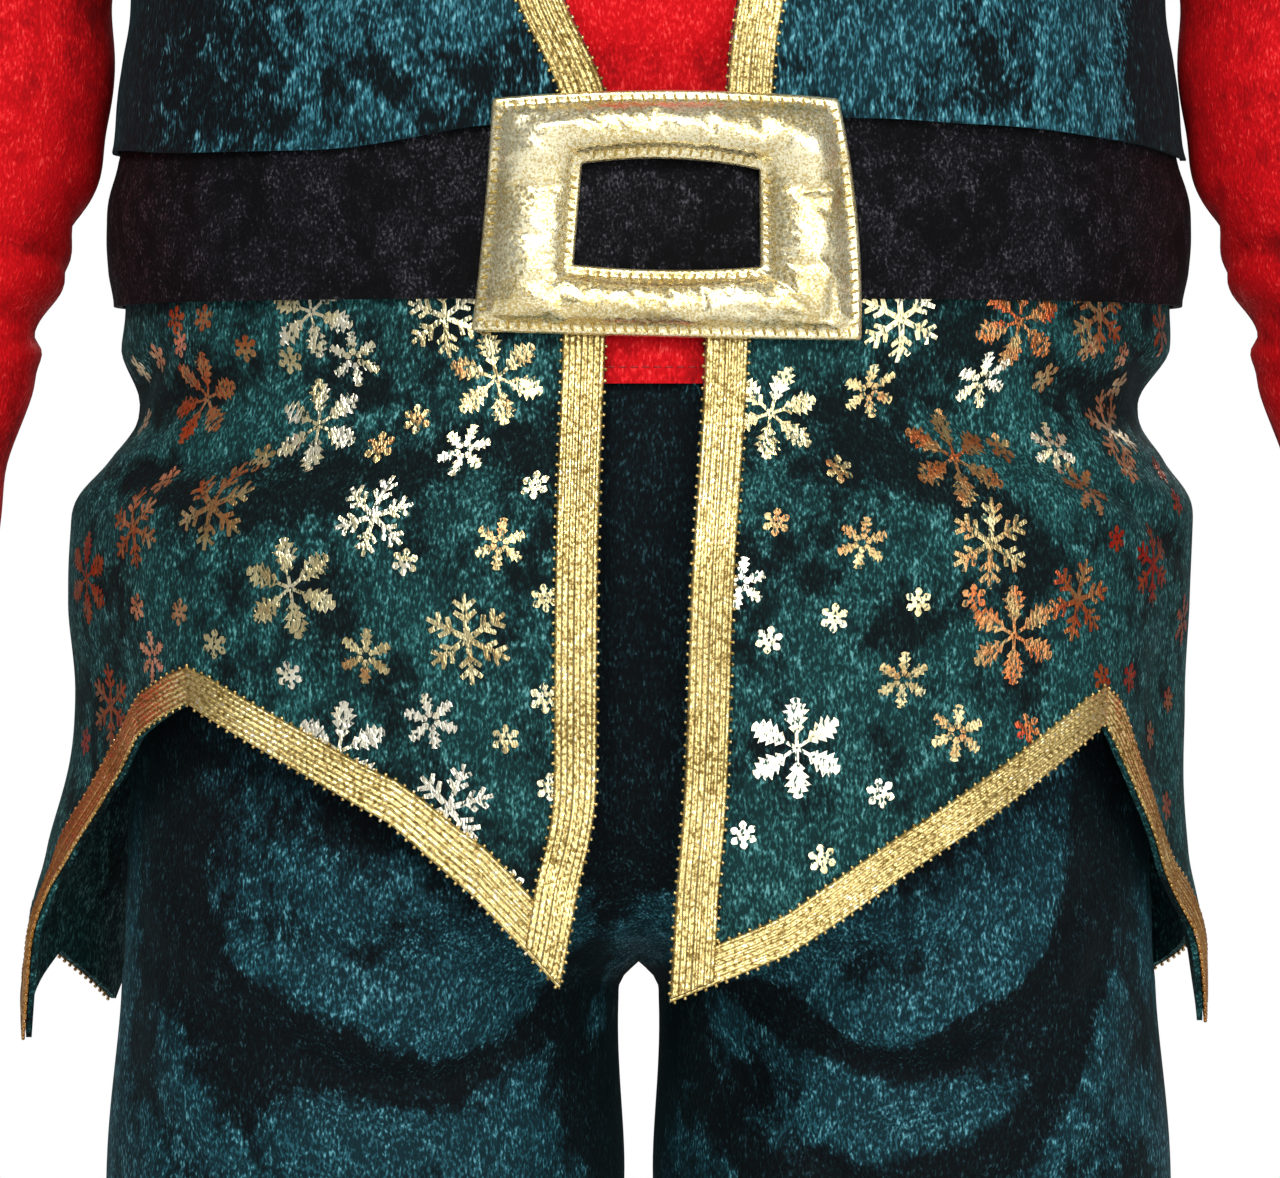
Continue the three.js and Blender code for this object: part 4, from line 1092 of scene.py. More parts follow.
def make_skirt():
    pieces = {}
    rows = np.concatenate([spaced(0, 1, 10)[:-1], spaced(1, 2, 130)])
    for side, label, hem in HEMS:
        braid_edge = hem[0][0] + BRAID_TURN
        places = np.concatenate([spaced(hem[0][0], braid_edge, OPENING_BRAID_WIDTH)[:-1],
                                 corners([(braid_edge,), *hem[1:]], 150)])
        pieces[f"skirt_{label}"] = shell(
            f"skirt_{label}_cloth", f"peplum_front_{label}", green_velvet,
            places, rows, skirt_front(side, hem), dark=SKIRT_PAINTED_LIGHT)
    back_rows = np.concatenate([spaced(0, 1, 10, 2.2)[:-1], spaced(1, 2, 130, 2.2)])
    pieces["skirt_back"] = shell("skirt_back_cloth", "peplum_back", green_velvet,
                                 corners(HEM_BACK, 330, 2.2), back_rows, skirt_back)
    return pieces


def make_trousers():
    pieces = {}
    for side, label in SIDES:
        for face, where in FACES:
            step = 2.1 if face < 0 else 2.9
            name = f"trouser_{where}_{label}"
            pieces[name] = shell(f"{name}_cloth", name, blue_velvet, spaced(0, 1, 150, step),
                                 spaced(0, 1, TROUSER_TOP - TROUSER_HEM, step), trouser_panel(side, face),
                                 dark=LEG_PAINTED_LIGHT if face < 0 else ())
    return pieces


# Gold braid: seven cords of chain stitch with a row of small picots along each edge

CORDS = 7
CHAIN = 1.5                # length of a chain stitch
PICOT = 2.3                # from one picot to the next
PICOT_RADIUS = 0.42
BRAID_LOW = 0.25           # height of the braid's underside above its cloth
BRAID_HIGH = 1.25          # and of its cords
BRAID_MIDDLE = 0.6         # height at which its length is measured
CORD_COLUMNS = 4           # columns of points across a cord


def cord_height(across, along):
    """Height of the braid at a share of its width and a length along it."""
    place = across * CORDS
    cord = np.clip(np.floor(place), 0, CORDS - 1)
    inside = 2 * (place - cord) - 1
    rounded = np.sqrt(clamp(1 - 0.9 * inside ** 2))
    chain = 0.68 + 0.32 * np.abs(np.sin(math.pi * (along / CHAIN + 0.5 * (cord % 2))))
    middle = cord == CORDS // 2
    tall = np.where(middle, 1.0, 0.86 * chain)
    return mix(BRAID_LOW + 0.15, BRAID_HIGH, rounded * tall)


def braid(node, place_of, long, step, slant=None):
    """A braid along an edge. place_of(along, across, height) gives a point, and slant leans the stitches."""
    rows = np.linspace(0, long, int(long / step) + 1)
    shares = np.linspace(0, 1, CORDS * CORD_COLUMNS + 1)
    across, along = np.meshgrid(shares, rows)
    stitched = along + slant(along, across) if slant else along
    top = as_points(place_of(along, across, cord_height(across, stitched)))
    low = as_points(place_of(along, across, np.full_like(along, BRAID_LOW)))
    nu, nv = len(shares), len(rows)
    sheet = np.concatenate([low[:, :1], top, low[:, -1:]], axis=1)
    quads = grid_faces(nu + 2, nv)
    middle = sheet[nv // 2, nu // 2]
    ahead = sheet[nv // 2 + 1, nu // 2] - middle
    right = sheet[nv // 2, nu // 2 + 1] - middle
    if np.dot(np.cross(right, ahead), middle - low[nv // 2, nu // 2 - 1]) < 0:
        quads = quads[:, ::-1]
    points, faces, count = [sheet.reshape(-1, 3)], list(quads), sheet.size // 3
    places = np.arange(PICOT / 2, long, PICOT)
    for share, within in ((0.0, 0.06), (1.0, 0.94)):
        edge, inside = [as_points(place_of(places, np.full_like(places, at), np.full_like(places, 0.62)))
                        for at in (share, within)]
        away = edge - inside
        for place in edge + 0.3 * away / np.linalg.norm(away, axis=-1, keepdims=True):
            points.append(place + BEAD_POINTS * PICOT_RADIUS)
            faces += [tuple(k + count for k in face) for face in BEAD_FACES]
            count += len(BEAD_POINTS)
    points = np.concatenate(points)
    # Painted shade: how far the braid turns to the sides, where its gold darkens to bronze
    turned = clamp((np.degrees(np.arctan2(np.abs(points[:, 0]), np.abs(points[:, 1]))) - 58) / 26)
    piece = mesh_piece(f"{node}_braid", points, faces, gold_braid, values={"turned": turned})
    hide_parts(node)
    return piece


def bead():
    """A small round bead of six sides, as points and faces."""
    rings, sides = 3, 6
    points = [(0, 0, 1)]
    for i in range(1, rings):
        high = math.pi * i / rings
        wide = math.sin(high)
        turns = [2 * math.pi * k / sides for k in range(sides)]
        points += [(wide * math.cos(turn), wide * math.sin(turn), math.cos(high)) for turn in turns]
    points.append((0, 0, -1))
    last = len(points) - 1
    pairs = [(k, (k + 1) % sides) for k in range(sides)]
    faces = [(0, 1 + a, 1 + b) for a, b in pairs]
    faces += [(1 + a, 1 + sides + a, 1 + sides + b, 1 + b) for a, b in pairs]
    faces += [(last, 1 + sides + b, 1 + sides + a) for a, b in pairs]
    return np.array(points, float), faces


BEAD_POINTS, BEAD_FACES = bead()


def along_line(line):
    """Lengths along a line of points."""
    return np.concatenate([[0], np.cumsum(np.linalg.norm(np.diff(line, axis=0), axis=-1))])


def hem_braid(label, hem, point, step):
    """Braid round the pointed hem. Its rows slope with the hem, and its stitches stand square to it."""
    places = corners(hem, 400, 0.5)
    line = as_points(point(places, np.zeros_like(places), BRAID_MIDDLE))
    lengths = along_line(line)
    level = np.gradient(line[:, 2], lengths)

    def place_of(along, across, height):
        return point(np.interp(along, lengths, places), across, height)

    def slant(along, across):
        tall = braid_height(hem, np.interp(along, lengths, places))
        return np.interp(along, lengths, level) * across * tall
    return braid(f"hem_trim_{label}", place_of, lengths[-1], step, slant)


def edge_braid(node, point, ways, line, step):
    """Braid along an edge. point(way, across, height) gives a place, and line the places of these ways."""
    lengths = along_line(as_points(line))

    def place_of(along, across, height):
        return point(np.interp(along, lengths, ways), across, height)
    return braid(node, place_of, lengths[-1], step)


def opening_braid(label, side, hem):
    """Braid down an edge of the skirt's opening, over the end of the hem braid."""
    front = skirt_front(side, hem)
    first = hem[0][0]
    top = (BELT_BOTTOM - 0.5 - PEPLUM_TOP) / (PEPLUM_TOP - read_sharp(hem, first) - 10) + 2
    rows = np.linspace(0.12, top, 300)

    def point(row, across, height):
        over = 0.75 * ease((1.08 - row) / 0.06)
        return front(first + BRAID_TURN * across, row, height + over)
    line = front(np.full_like(rows, first + 2), rows, BRAID_MIDDLE)
    return edge_braid(f"opening_trim_{label}", point, rows, line, 0.5)


def neck_braid(label, side):
    front = bodice_front(side, bodice_relief)
    rows = np.linspace(0.002, 1, 400)

    def point(row, across, height):
        return front(across, row, height)
    line = point(rows, np.full_like(rows, 0.5), BRAID_MIDDLE)
    return edge_braid(f"neck_trim_{label}", point, rows, line, 0.6)


def back_neck_braid():
    """Braid round the back of the neck. Its width turns over the shoulder and stays even."""
    def edge(u, v, height):
        share = sideways(2 * u - 1)
        inner = NECK_HALF * share
        drop = clamp((shoulder_line(inner) - back_top(inner)) / SHOULDER_ROUND)
        turned = np.arccos(1 - drop) + NECK_BRAID_WIDTH * v * (1 - share ** 8) / SHOULDER_ROUND
        past = np.maximum(turned - math.pi / 2, 0)
        x = share * (NECK_HALF + NECK_BRAID_WIDTH * v)
        z = shoulder_line(x) - SHOULDER_ROUND * (1 - np.cos(turned - past) + past)
        return on_chest(BODICE, x, z, 1, height + 0.3)
    us = np.linspace(0, 1, 300)
    return edge_braid("neck_trim_back", edge, us, edge(us, np.full_like(us, 0.5), BRAID_MIDDLE), 0.8)


def make_braids():
    pieces = {}
    for side, label, hem in HEMS:
        pieces[f"skirt_{label}"] = [hem_braid(label, hem, skirt_front(side, hem), 0.5),
                                    opening_braid(label, side, hem)]
        pieces[f"bodice_{label}"] = [neck_braid(label, side)]
    pieces["skirt_back"] = [hem_braid("back", HEM_BACK, skirt_back, 0.75)]
    pieces["bodice_back"] = [back_neck_braid()]
    return pieces


# Foil snowflakes, printed on the skirt

# Places as they show in the photograph, 1280 by 1178 pixels: x, y, and the tint from silver 0 to red 1
LARGE_FLAKES = [
    (322, 425, 0.18), (290, 588, 0.3), (497, 378, 0.42), (797, 748, 0.02), (1014, 635, 0.68), (771, 413, 0.3),
    (1019, 321, 0.7), (953, 458, 0.62), (88, 578, 0.75), (208, 398, 0.6), (312, 312, 0.15), (338, 752, 0.0),
]
THIN_FLAKES = [
    (373, 516, 0.15), (468, 639, 0.4), (449, 808, 0.0), (445, 317, 0.3), (901, 319, 0.25), (990, 543, 0.5),
    (1080, 600, 0.75), (1152, 565, 0.9), (212, 506, 0.55), (134, 528, 0.5), (112, 705, 0.7), (1099, 315, 0.6),
    (1106, 430, 0.4),
]
STAR_FLAKES = [
    (354, 359, 0.15), (464, 450, 0.2), (500, 544, 0.45), (431, 721, 0.0), (366, 656, 0.45), (150, 657, 0.2),
    (869, 391, 0.45), (862, 543, 0.5), (903, 680, 0.35), (980, 380, 0.12), (1054, 448, 0.2), (1090, 489, 0.5),
    (957, 733, 0.45), (740, 583, 0.1), (1160, 330, 0.7), (1182, 620, 0.9),
]
SMALL_FLAKES = [
    (176, 320, 0.7), (204, 318, 0.6), (246, 348, 0.65), (178, 344, 0.3), (153, 358, 0.2), (138, 369, 0.3),
    (148, 422, 0.3), (290, 360, 0.4), (419, 419, 0.45), (380, 447, 0.5), (260, 458, 0.5), (162, 480, 0.3),
    (535, 485, 0.3), (405, 562, 0.2), (545, 598, 0.4), (137, 607, 0.3), (178, 612, 0.5), (215, 644, 0.3),
    (289, 675, 0.0), (545, 698, 0.2), (506, 739, 0.4), (88, 741, 0.95), (550, 787, 0.1), (509, 885, 0.0),
    (1088, 347, 0.4), (1123, 356, 0.3), (1115, 387, 0.5), (1043, 378, 0.5), (1004, 448, 0.6),
    (1125, 469, 0.4), (1156, 470, 0.8), (1176, 502, 0.9), (839, 469, 0.5), (776, 522, 0.5), (1116, 539, 0.85),
    (973, 598, 0.6), (919, 602, 0.2), (834, 618, 0.2), (769, 640, 0.1), (1102, 678, 0.8), (1132, 678, 0.95),
    (880, 793, 0.05), (743, 835, 0.0), (822, 859, 0.25), (1026, 728, 0.8), (1164, 806, 0.8), (1150, 735, 0.7),
    (1166, 700, 0.85),
]


def on_photo(px, py):
    """The turn and height of the skirt's cloth that the camera sees at a pixel of the photograph."""
    y = -85.0
    for _ in range(6):
        scale = PIXEL * (CAMERA_AWAY + y) / CAMERA_AWAY
        x = VIEW_MIDDLE[0] + (px - PICTURE[0] / 2) * scale
        z = VIEW_MIDDLE[1] - (py - PICTURE[1] / 2) * scale
        lean, half = float(read(PEPLUM, z, 1)), float(read(PEPLUM, z, 2))
        turn = 0.0
        for _ in range(4):
            swell = float(skirt_wave(np.array(turn), np.array(z)))
            turn = math.degrees(math.asin(max(-0.996, min(0.996, (x - lean) / (half + swell)))))
        y = float(on_skirt(np.array(turn), np.array(z), 0.0)[1])
    return turn, z


def stroke(start, end, widths, pieces=5, lean=0.0):
    """A flat strip between two places. widths are half widths along it, and lean points lobes ahead."""
    start, end = np.array(start, float), np.array(end, float)
    t = np.linspace(0, 1, pieces + 1)
    half = np.interp(t, np.linspace(0, 1, len(widths)), widths)
    centre = start + (end - start) * t[:, None]
    ahead = (end - start) / np.linalg.norm(end - start)
    side = np.array([-ahead[1], ahead[0]]) * half[:, None]
    centre = centre + ahead * lean * half[:, None]
    points = np.stack([centre + side, centre - side], axis=1).reshape(-1, 2)
    k = np.arange(pieces) * 2
    return points, np.stack([k, k + 1, k + 3, k + 2], axis=1)


def joined(parts):
    """One set of points and faces from several."""
    points, faces, count = [], [], 0
    for some, quads in parts:
        points.append(some)
        faces.append(quads + count)
        count += len(some)
    return np.concatenate(points), np.concatenate(faces)


def spoke(angle, out, side=0.0):
    """A place at a distance from the middle, at an angle from upright in degrees."""
    a = math.radians(angle)
    return (out * math.sin(a) + side * math.cos(a), out * math.cos(a) - side * math.sin(a))


def arms(size, strips):
    """Six arms of strips, each a start, an end, its turn from the arm, its half widths and its lean."""
    strokes = []
    for arm in range(0, 360, 60):
        for out, side, long, turn, widths, lean in strips:
            root = np.array(spoke(arm, out * size, side * size))
            tip = root + np.array(spoke(arm + turn, long * size))
            strokes.append(stroke(root, tip, [size * w for w in widths], 2 * (len(widths) - 1), lean))
    return joined(strokes)


def leafy_flake(size):
    """Six broad leaves with rounded lobes like oak leaves, on thin stems."""
    lobes = (0.03, 0.15, 0.09, 0.23, 0.13, 0.26, 0.14, 0.2, 0.07, 0.1, 0.02)
    return arms(size, [(0.02, 0, 0.36, 0, (0.036, 0.03), 0), (0.26, 0, 0.68, 0, lobes, 0.4)])


def thin_flake(size):
    """Six arms with straight side branches."""
    bar = (0.06, 0.06, 0.05)
    strips = [(0, 0, 1, 0, (0.07, 0.06, 0.05), 0)]
    for out, long in ((0.42, 0.3), (0.66, 0.3)):
        strips += [(out, 0, long, 52, bar, 0), (out, 0, long, -52, bar, 0)]
    return arms(size, strips)


def star_flake(size):
    """Six short leaves with three pairs of points, that meet in a small ring."""
    lobes = (0.05, 0.13, 0.07, 0.2, 0.1, 0.22, 0.09, 0.15, 0.03)
    return arms(size, [(0.1, 0, 0.8, 0, lobes, 0.5), (0.13, 0.12, 0.16, 90, (0.05, 0.04), 0)])


def small_flake(size):
    """A rosette of six notched petals."""
    petal = (0.1, 0.22, 0.14, 0.27, 0.2, 0.06)
    return arms(size, [(0.06, 0, 0.88, 0, petal, 0.3)])


FLAKE_KINDS = {
    # kind: form, half size, how many are hidden, and those that show
    "large": (leafy_flake, 10.6, 15, LARGE_FLAKES),
    "thin": (thin_flake, 9.0, 14, THIN_FLAKES),
    "star": (star_flake, 6.2, 18, STAR_FLAKES),
    "small": (small_flake, 3.2, 62, SMALL_FLAKES),
}


def skirt_hem(turn):
    """Height of the skirt's lower edge at a turn."""
    turn = np.asarray(turn, float)
    behind = np.where(turn > 90, turn - 360, turn)
    back = read_sharp(HEM_BACK, behind)
    front = np.where(turn < 0, read_sharp(HEM_LEFT, -turn), read_sharp(HEM_RIGHT, turn))
    return np.where(np.abs(turn) > 90, back, front)


def flake(kind, turn, z, spin, size):
    """One snowflake as points on the skirt and its faces, cut off under the belt and the braids."""
    form, half = FLAKE_KINDS[kind][:2]
    flat, quads = form(half * size)
    around = math.radians(spin)
    a = flat[:, 0] * math.cos(around) - flat[:, 1] * math.sin(around)
    b = flat[:, 0] * math.sin(around) + flat[:, 1] * math.cos(around)
    near = np.array(on_skirt(np.array([turn - 1.0, turn + 1.0]), np.array([z, z]), 0.0))
    per_degree = np.linalg.norm(near[:, 1] - near[:, 0]) / 2
    turns, heights = turn + a / per_degree, z + b
    turns = np.where(turns > 180, turns - 360, np.where(turns < -180, turns + 360, turns))
    points = as_points(on_skirt(turns, heights, FOIL_LIFT))
    inside = (heights < PEPLUM_TOP - 1) & (heights > skirt_hem(turns) + 3)
    ahead = np.abs(turns) < 60
    left = read(SKIRT_OPENING, heights, 1) - 2
    right = read(SKIRT_OPENING, heights, 2) + 2
    inside &= ~ahead | (points[:, 0] < left) | (points[:, 0] > right)
    keep = inside[quads].all(axis=1)
    if abs(turn) < 88:
        keep &= (np.abs(turns[quads]) < 90).all(axis=1)
    return points, quads[keep]


def hidden_flakes():
    """A seeded repeat of the print for the parts of the skirt that the photograph doesn't show."""
    def signed(turn):
        return turn if turn <= 180 else turn - 360
    random = np.random.RandomState(SEED)
    placed = []
    for kind, (_, half, count, _) in FLAKE_KINDS.items():
        tries = 0
        while count and tries < 3000:
            tries += 1
            turn, z = random.uniform(93, 267), random.uniform(-352, -214)
            if z < float(skirt_hem(signed(turn))) + 11 + 0.5 * half:
                continue
            if all(math.hypot((turn - t) * 1.6, z - h) > (half + r) * 0.95 + 2 for _, t, h, r, _ in placed):
                placed.append((kind, turn, z, half, random.uniform(0.1, 0.75)))
                count -= 1
    return [(kind, signed(turn), z, tint) for kind, turn, z, _, tint in placed]


def make_flakes():
    random = np.random.RandomState(SEED + 1)
    flakes = [(kind, *on_photo(px, py), tint)
              for kind, (*_, rows) in FLAKE_KINDS.items() for px, py, tint in rows]
    flakes += hidden_flakes()
    parts = [flake(kind, turn, z, random.uniform(-14, 14), random.uniform(0.94, 1.06))
             for kind, turn, z, _ in flakes]
    tints = [np.full(len(points), tint) for (points, _), (*_, tint) in zip(parts, flakes)]
    piece = mesh_piece("foil_snowflakes", *joined(parts), gold_foil, values={"tint": np.concatenate(tints)})
    return piece


# The padded buckle

FLANGE = 1.9               # width of the flat edge outside the padding's seam
FLANGE_HIGH = 1.5
BUCKLE_SWELL = 1.2         # how much lower the dome starts than it stands after the simulation
SWELL_CAP = 0.0022         # and how far a point may move, in metres
SIM_SCALE = 10             # the simulation runs on the piece itself, scaled up this many times, as cloth works best near one metre
BUCKLE_CREASES = [
    # x, z, x, z, bow, depth, half width
    (38.6, -171, 40.6, -214, 0.6, -1.3, 0.7), (36.6, -171, 38.2, -190, 0.4, 0.5, 1.4),
    (35.5, -169.8, 38.2, -186, 0.8, -1.3, 1.3), (-30.5, -212, -18, -211.4, -0.4, -0.9, 0.9),
    (-14, -210.8, 2, -211.6, 0.5, -0.6, 0.8), (-28, -171.5, -10, -170.4, 0.3, -0.7, 0.9),
    (14, -210.6, 30, -211.2, 0.4, -0.7, 0.9), (-31, -177, -31.6, -205, 0, -0.6, 0.8),
    (-28, -207, -20, -203, 0.6, -0.45, 1.2), (28, -207, 34, -211, 0.4, -0.5, 1.2),
    (-27, -173, -19, -177.5, 0.5, -0.45, 1.3), (26, -177, 33, -171.5, 0.5, -0.5, 1.2),
    (-6, -172, -4, -178, 0.2, -0.3, 1.0), (10, -203, 12, -210, 0.3, -0.35, 1.0),
]


BUCKLE_SIDES = list(zip(BUCKLE, BUCKLE[1:] + BUCKLE[:1]))
OUTER, INNER = 0, 2        # columns of the buckle's two outlines


def run_of(start, end, column):
    """How far a side of the buckle runs across and up."""
    return end[column] - start[column], end[column + 1] - start[column + 1]


def bow_of(start, column):
    return start[4 + column // 2]


def on_buckle_side(start, end, column, t):
    """A place on a bowed side from one corner of the buckle to the next."""
    run_x, run_z = run_of(start, end, column)
    out = 4 * bow_of(start, column) * t * (1 - t) / math.hypot(run_x, run_z)
    x, z = [mix(start[k], end[k], t) for k in (column, column + 1)]
    return x - run_z * out, z + run_x * out


def side_depths(x, z, column):
    """How far a place lies inside each side of the outer or inner outline."""
    depths = []
    for start, end in BUCKLE_SIDES:
        run_x, run_z = run_of(start, end, column)
        long = math.hypot(run_x, run_z)
        t = clamp(((x - start[column]) * run_x + (z - start[column + 1]) * run_z) / long ** 2)
        inward = ((x - start[column]) * run_z - (z - start[column + 1]) * run_x) / long
        depths.append(inward + 4 * bow_of(start, column) * t * (1 - t))
    return np.stack(depths)


def soft_least(values, width):
    return -width * np.log(np.sum(np.exp(-values / width), axis=0))


def inside_seams(x, z):
    """How far a place of the buckle lies inside its outer seam, and inside its inner one."""
    outside = soft_least(side_depths(x, z, OUTER), 0.9) - FLANGE
    inside = -soft_least(side_depths(x, z, INNER), 0.9) - FLANGE
    return outside, inside


def buckle_height(x, z, crown=BUCKLE_CROWN):
    """Height of the gold cloth above the belt: flat edges, and a dome between the two seams."""
    outer, inner = inside_seams(x, z)
    from_outer, from_inner = np.maximum(outer, 0), np.maximum(inner, 0)
    share = from_outer / np.maximum(from_outer + from_inner, 1e-6)
    dome = np.sin(math.pi * share) ** 0.62
    tight = ease(np.minimum(from_outer, from_inner) / 1.2)
    pucker = bump((outer - 0.5) / 1.5) + bump((inner - 0.5) / 1.5)
    around = np.degrees(np.arctan2(z + 190.5, x - 4)) * 0.62
    height = FLANGE_HIGH + (crown - FLANGE_HIGH) * dome * tight
    height += 0.2 * pucker * np.cos(2 * math.pi * around / 2.6 + 2 * ripples(x, z, 9, SEED + 8))
    return height + 0.3 * ripples(x, z, 10, SEED + 7) * dome + creases(x, z, BUCKLE_CREASES) * tight


def behind_buckle(x, z):
    """What the buckle lies on: the belt, and higher up the bodice with its braid."""
    belt = on_body(BELT, x, z, -1, 0.5)[1]
    bodice = on_body(BODICE, x, z, -1, 1.9)[1]
    return mix(belt, bodice, ease((z + 186) / 12))


def swell(piece, held, cap):
    """Lets a padded piece swell under pressure as cloth, held at some points, up to a cap in metres."""
    mesh = piece.data
    start = np.empty(len(mesh.vertices) * 3)
    mesh.vertices.foreach_get("co", start)
    mesh.vertices.foreach_set("co", start * SIM_SCALE)
    group = piece.vertex_groups.new(name="held")
    group.add(np.flatnonzero(held).tolist(), 1.0, "REPLACE")
    cloth = piece.modifiers.new("Cloth", "CLOTH")
    cloth.settings.vertex_group_mass = group.name
    cloth.settings.mass = 0.04
    cloth.settings.tension_stiffness = 12
    cloth.settings.compression_stiffness = 12
    cloth.settings.bending_stiffness = 0.5
    cloth.settings.shrink_min = -0.025
    cloth.settings.use_pressure = True
    cloth.settings.uniform_pressure_force = 4
    cloth.settings.effector_weights.gravity = 0
    cloth.collision_settings.use_collision = False
    for number in range(1, 21):
        bpy.context.scene.frame_set(number)
    swollen = piece.evaluated_get(bpy.context.evaluated_depsgraph_get())
    end = np.empty(len(mesh.vertices) * 3)
    swollen.data.vertices.foreach_get("co", end)
    piece.modifiers.remove(cloth)
    piece.vertex_groups.remove(group)
    moved = end.reshape(-1, 3) / SIM_SCALE - start.reshape(-1, 3)
    length = np.linalg.norm(moved, axis=1, keepdims=True)
    moved *= np.minimum(1, cap / np.maximum(length, 1e-9))
    mesh.vertices.foreach_set("co", start + moved.ravel())
    mesh.update()
    bpy.context.scene.frame_set(1)


def subdivided(piece):
    smoother = piece.modifiers.new("Subdivision", "SUBSURF")
    smoother.levels = 1
    evaluated = piece.evaluated_get(bpy.context.evaluated_depsgraph_get())
    finer = bpy.data.meshes.new_from_object(evaluated)
    piece.modifiers.remove(smoother)
    piece.data = finer


def make_buckle():
    """The padded buckle: a closed bag of gold cloth, swollen by a cloth simulation between its two seams."""
    rings = [[], []]
    shares = np.concatenate([[0, 0.02], np.linspace(0.05, 0.95, 20), [0.98, 1]])
    for (start, end), count in zip(BUCKLE_SIDES, (66, 46, 66, 46)):
        t = np.arange(count) / count
        outlines = [on_buckle_side(start, end, column, t) for column in (OUTER, INNER)]
        for ring, outer, inner in zip(rings, *outlines):
            ring.append(mix(outer[:, None], inner[:, None], shares))
    x, z = [np.concatenate(ring) for ring in rings]
    back = behind_buckle(x, z)
    rolled = np.sqrt(clamp(1 - (1 - clamp(np.minimum(shares, 1 - shares) / 0.04)) ** 2))[None, :]
    crown = BUCKLE_CROWN - BUCKLE_SWELL
    top = back - np.maximum(buckle_height(x, z, crown) * mix(0.45, 1, rolled), 0.5)
    front = np.stack([x, top, z], axis=-1)
    rear = np.stack([x, back, z], axis=-1)
    nv = len(x)
    loop = np.concatenate([front, rear[:, ::-1]], axis=1).transpose(1, 0, 2)
    wide = loop.shape[0]
    i, j = np.meshgrid(np.arange(nv), np.arange(wide))
    i, j = i.ravel(), j.ravel()
    i2, j2 = (i + 1) % nv, (j + 1) % wide
    quads = np.stack([j * nv + i, j2 * nv + i, j2 * nv + i2, j * nv + i2], axis=1)
    flat = loop.reshape(-1, 3)
    a, b, c = flat[quads[nv * 5, 0]], flat[quads[nv * 5, 1]], flat[quads[nv * 5, 3]]
    if np.cross(b - a, c - a)[1] > 0:
        quads = quads[:, ::-1]
    piece = mesh_piece("buckle_cloth", flat, quads, gold_lame)
    free = np.minimum(*inside_seams(x, z)).T.ravel() > 0.3
    swell(piece, ~np.concatenate([free, np.zeros(free.size, bool)]), SWELL_CAP)
    subdivided(piece)
    piece.data.set_sharp_from_angle(angle=math.radians(60))
    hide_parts("buckle")
    return piece


# Stitches

def stitches(name, pairs, material, radius):
    """Threads as small six-sided capsules between pairs of points."""
    points, faces, count = [], [], 0
    ring = [(math.cos(2 * math.pi * k / 6), math.sin(2 * math.pi * k / 6)) for k in range(6)]
    for start, end in pairs:
        start, end = np.array(start, float), np.array(end, float)
        run = (end - start) / max(np.linalg.norm(end - start), 1e-6)
        side = np.cross(run, (0.31, 0.17, 0.93))
        side /= np.linalg.norm(side)
        other = np.cross(run, side)
        for t, wide in ((0.0, 0.35), (0.2, 1.0), (0.8, 1.0), (1.0, 0.35)):
            centre = start + (end - start) * t
            points += [centre + radius * wide * (side * c + other * s) for c, s in ring]
        for level in range(3):
            for k in range(6):
                a, b = count + 6 * level + k, count + 6 * level + (k + 1) % 6
                faces.append((a, b, b + 6, a + 6))
        faces += [tuple(count + k for k in range(5, -1, -1)), tuple(count + 18 + k for k in range(6))]
        count += 24
    return mesh_piece(name, points, faces, material)


def make_buckle_stitches():
    """Short stitches across the two seams of the buckle, each a little aslant."""
    pairs = []
    pitch, long = 2.2, 0.4
    for column, way in ((OUTER, 1), (INNER, -1)):
        for start, end in BUCKLE_SIDES:
            run_x, run_z = run_of(start, end, column)
            run = math.hypot(run_x, run_z)
            starts = np.arange(FLANGE + 0.4, run - FLANGE - long, pitch)
            ends = []
            for at, depth in ((starts, FLANGE - 1.1), (starts + long, FLANGE + 0.4)):
                x, z = on_buckle_side(start, end, column, at / run)
                x, z = x + run_z / run * depth * way, z - run_x / run * depth * way
                ends.append(as_points((x, behind_buckle(x, z) - buckle_height(x, z) - 0.08, z)))
            pairs += list(zip(*ends))
    return stitches("buckle_stitches", pairs, gold_thread, 0.27)


RUNNING_PITCH = 2.4        # from one running stitch to the next
RUNNING_SHARE = 0.72       # share of it that shows as thread
RUNNING_LIFT = 0.1         # how far the stitches stand off the cloth
HEM_STITCHES_UP = 12       # how far they run above the trousers' hems


def running(line):
    """Pairs of places for a running stitch along a line of points."""
    lengths = along_line(line)
    starts = np.arange(RUNNING_PITCH / 2, lengths[-1] - RUNNING_PITCH, RUNNING_PITCH)

    def at(ways):
        return as_points([np.interp(ways, lengths, line[:, k]) for k in range(3)])
    return list(zip(at(starts), at(starts + RUNNING_PITCH * RUNNING_SHARE)))


def hem_stitches(name, line, material):
    return [stitches(name, running(line), material, 0.17)]


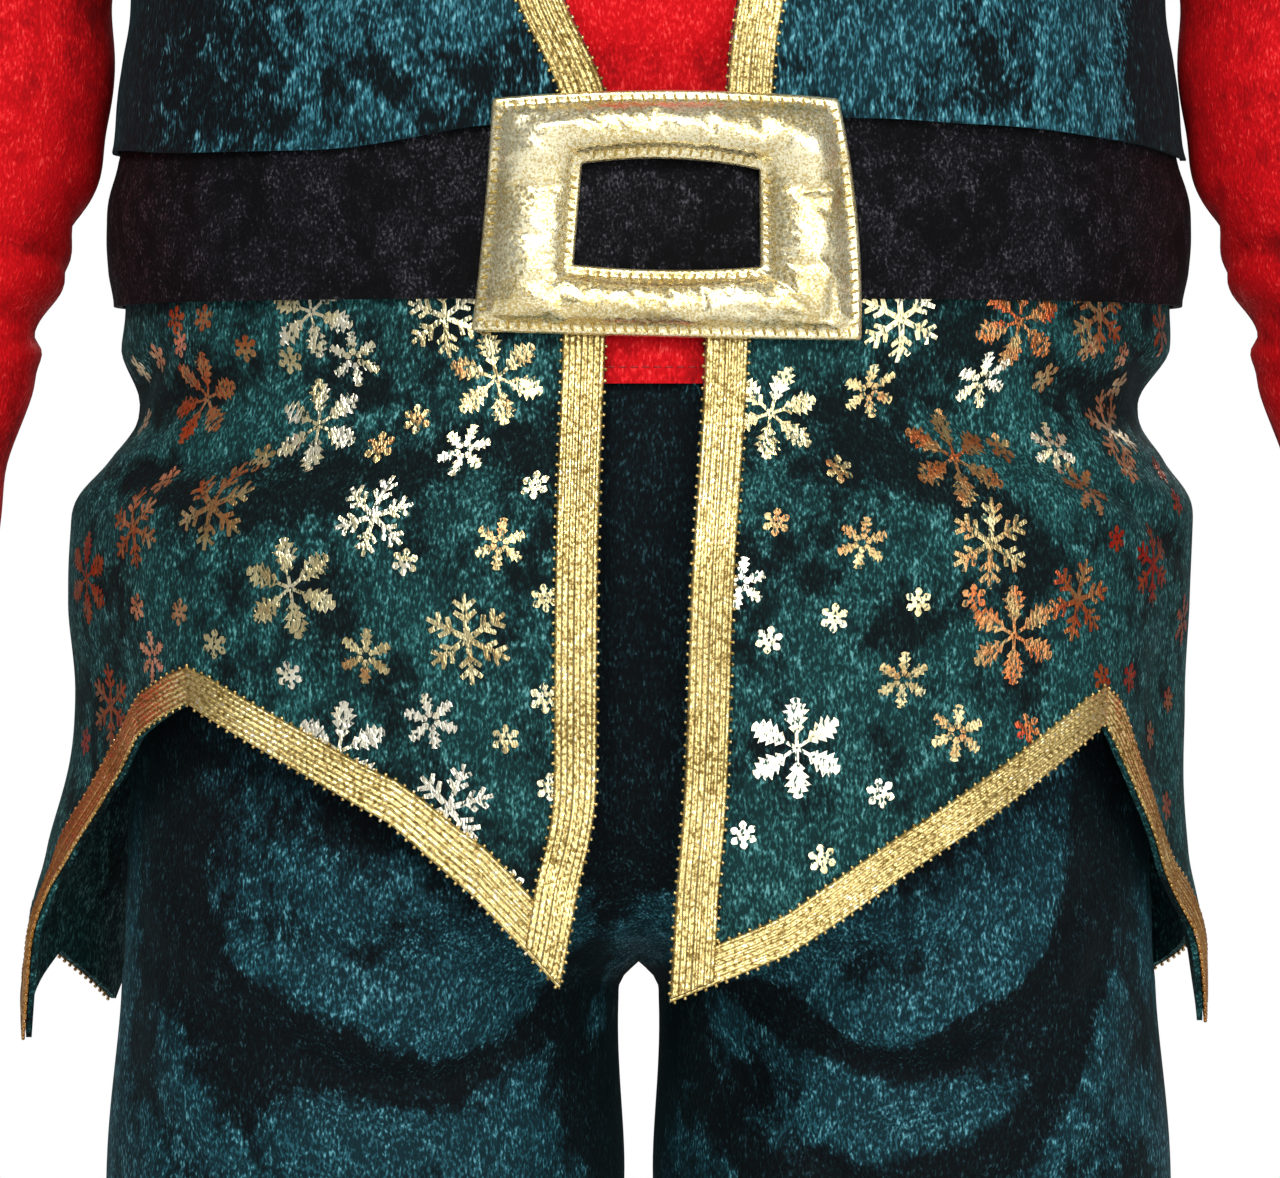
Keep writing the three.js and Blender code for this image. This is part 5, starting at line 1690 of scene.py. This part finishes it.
def make_hem_stitches():
    t = np.linspace(0, 1, 200)
    turns = np.linspace(0, 360, 360)
    up = np.full_like(t, HEM_STITCHES_UP / (TROUSER_TOP - TROUSER_HEM))
    line = as_points(insert(t, np.full_like(t, 0.018), RUNNING_LIFT))
    pieces = {"insert": hem_stitches("insert_stitches", line[8:-8], red_thread)}
    for side, label in SIDES:
        cuff = as_points(sleeve(side)(turns, np.full_like(turns, 0.965), RUNNING_LIFT))
        pieces[f"sleeve_{label}"] = hem_stitches(f"cuff_stitches_{label}", cuff, red_thread)
        for face, where in FACES:
            hem = as_points(trouser_panel(side, face)(t, up, RUNNING_LIFT))
            name = f"trouser_{where}_{label}"
            pieces[name] = hem_stitches(f"{name}_stitches", hem, dark_thread)
    return pieces


# Each sheet as it was cut: width, length and area in metres, how it is held and what it hangs from
SHEETS = {
    "insert": (0.105, 0.205, 0.0122, "hung", ["bodice_left_cloth", "bodice_right_cloth"]),
    "bodice_back": (0.3, 0.176, 0.0446, "hung", ["bodice_left_cloth", "bodice_right_cloth"]),
    "bodice_left": (0.146, 0.18, 0.0174, "hung", ["bodice_back_cloth"]),
    "bodice_right": (0.146, 0.18, 0.0174, "hung", ["bodice_back_cloth"]),
    "sleeve_left": (0.235, 0.335, 0.0588, "hung", ["bodice_left_cloth", "bodice_back_cloth"]),
    "sleeve_right": (0.235, 0.335, 0.0588, "hung", ["bodice_right_cloth", "bodice_back_cloth"]),
    "belt": (0.605, 0.0435, 0.0263, "stretched",
             ["skirt_left_cloth", "skirt_right_cloth", "skirt_back_cloth"]),
    "skirt_left": (0.168, 0.165, 0.0191, "hung", ["belt_cloth"]),
    "skirt_right": (0.168, 0.165, 0.02, "hung", ["belt_cloth"]),
    "skirt_back": (0.335, 0.165, 0.0452, "hung", ["belt_cloth"]),
    "trouser_front_left": (0.19, 0.45, 0.0733, "hung", ["trouser_back_left_cloth"]),
    "trouser_front_right": (0.19, 0.45, 0.0733, "hung", ["trouser_back_right_cloth"]),
    "trouser_back_left": (0.195, 0.45, 0.0746, "hung", ["trouser_front_left_cloth"]),
    "trouser_back_right": (0.195, 0.45, 0.0746, "hung", ["trouser_front_right_cloth"]),
}

cloths = {**make_top(), **make_skirt(), **make_trousers()}
trims = {**make_braids(), **make_hem_stitches()}
trims["skirt_back"].append(make_flakes())
make_buckle()
make_buckle_stitches()
for name, (wide, long, area, held, hung_from) in SHEETS.items():
    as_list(trims.get(name, ()))
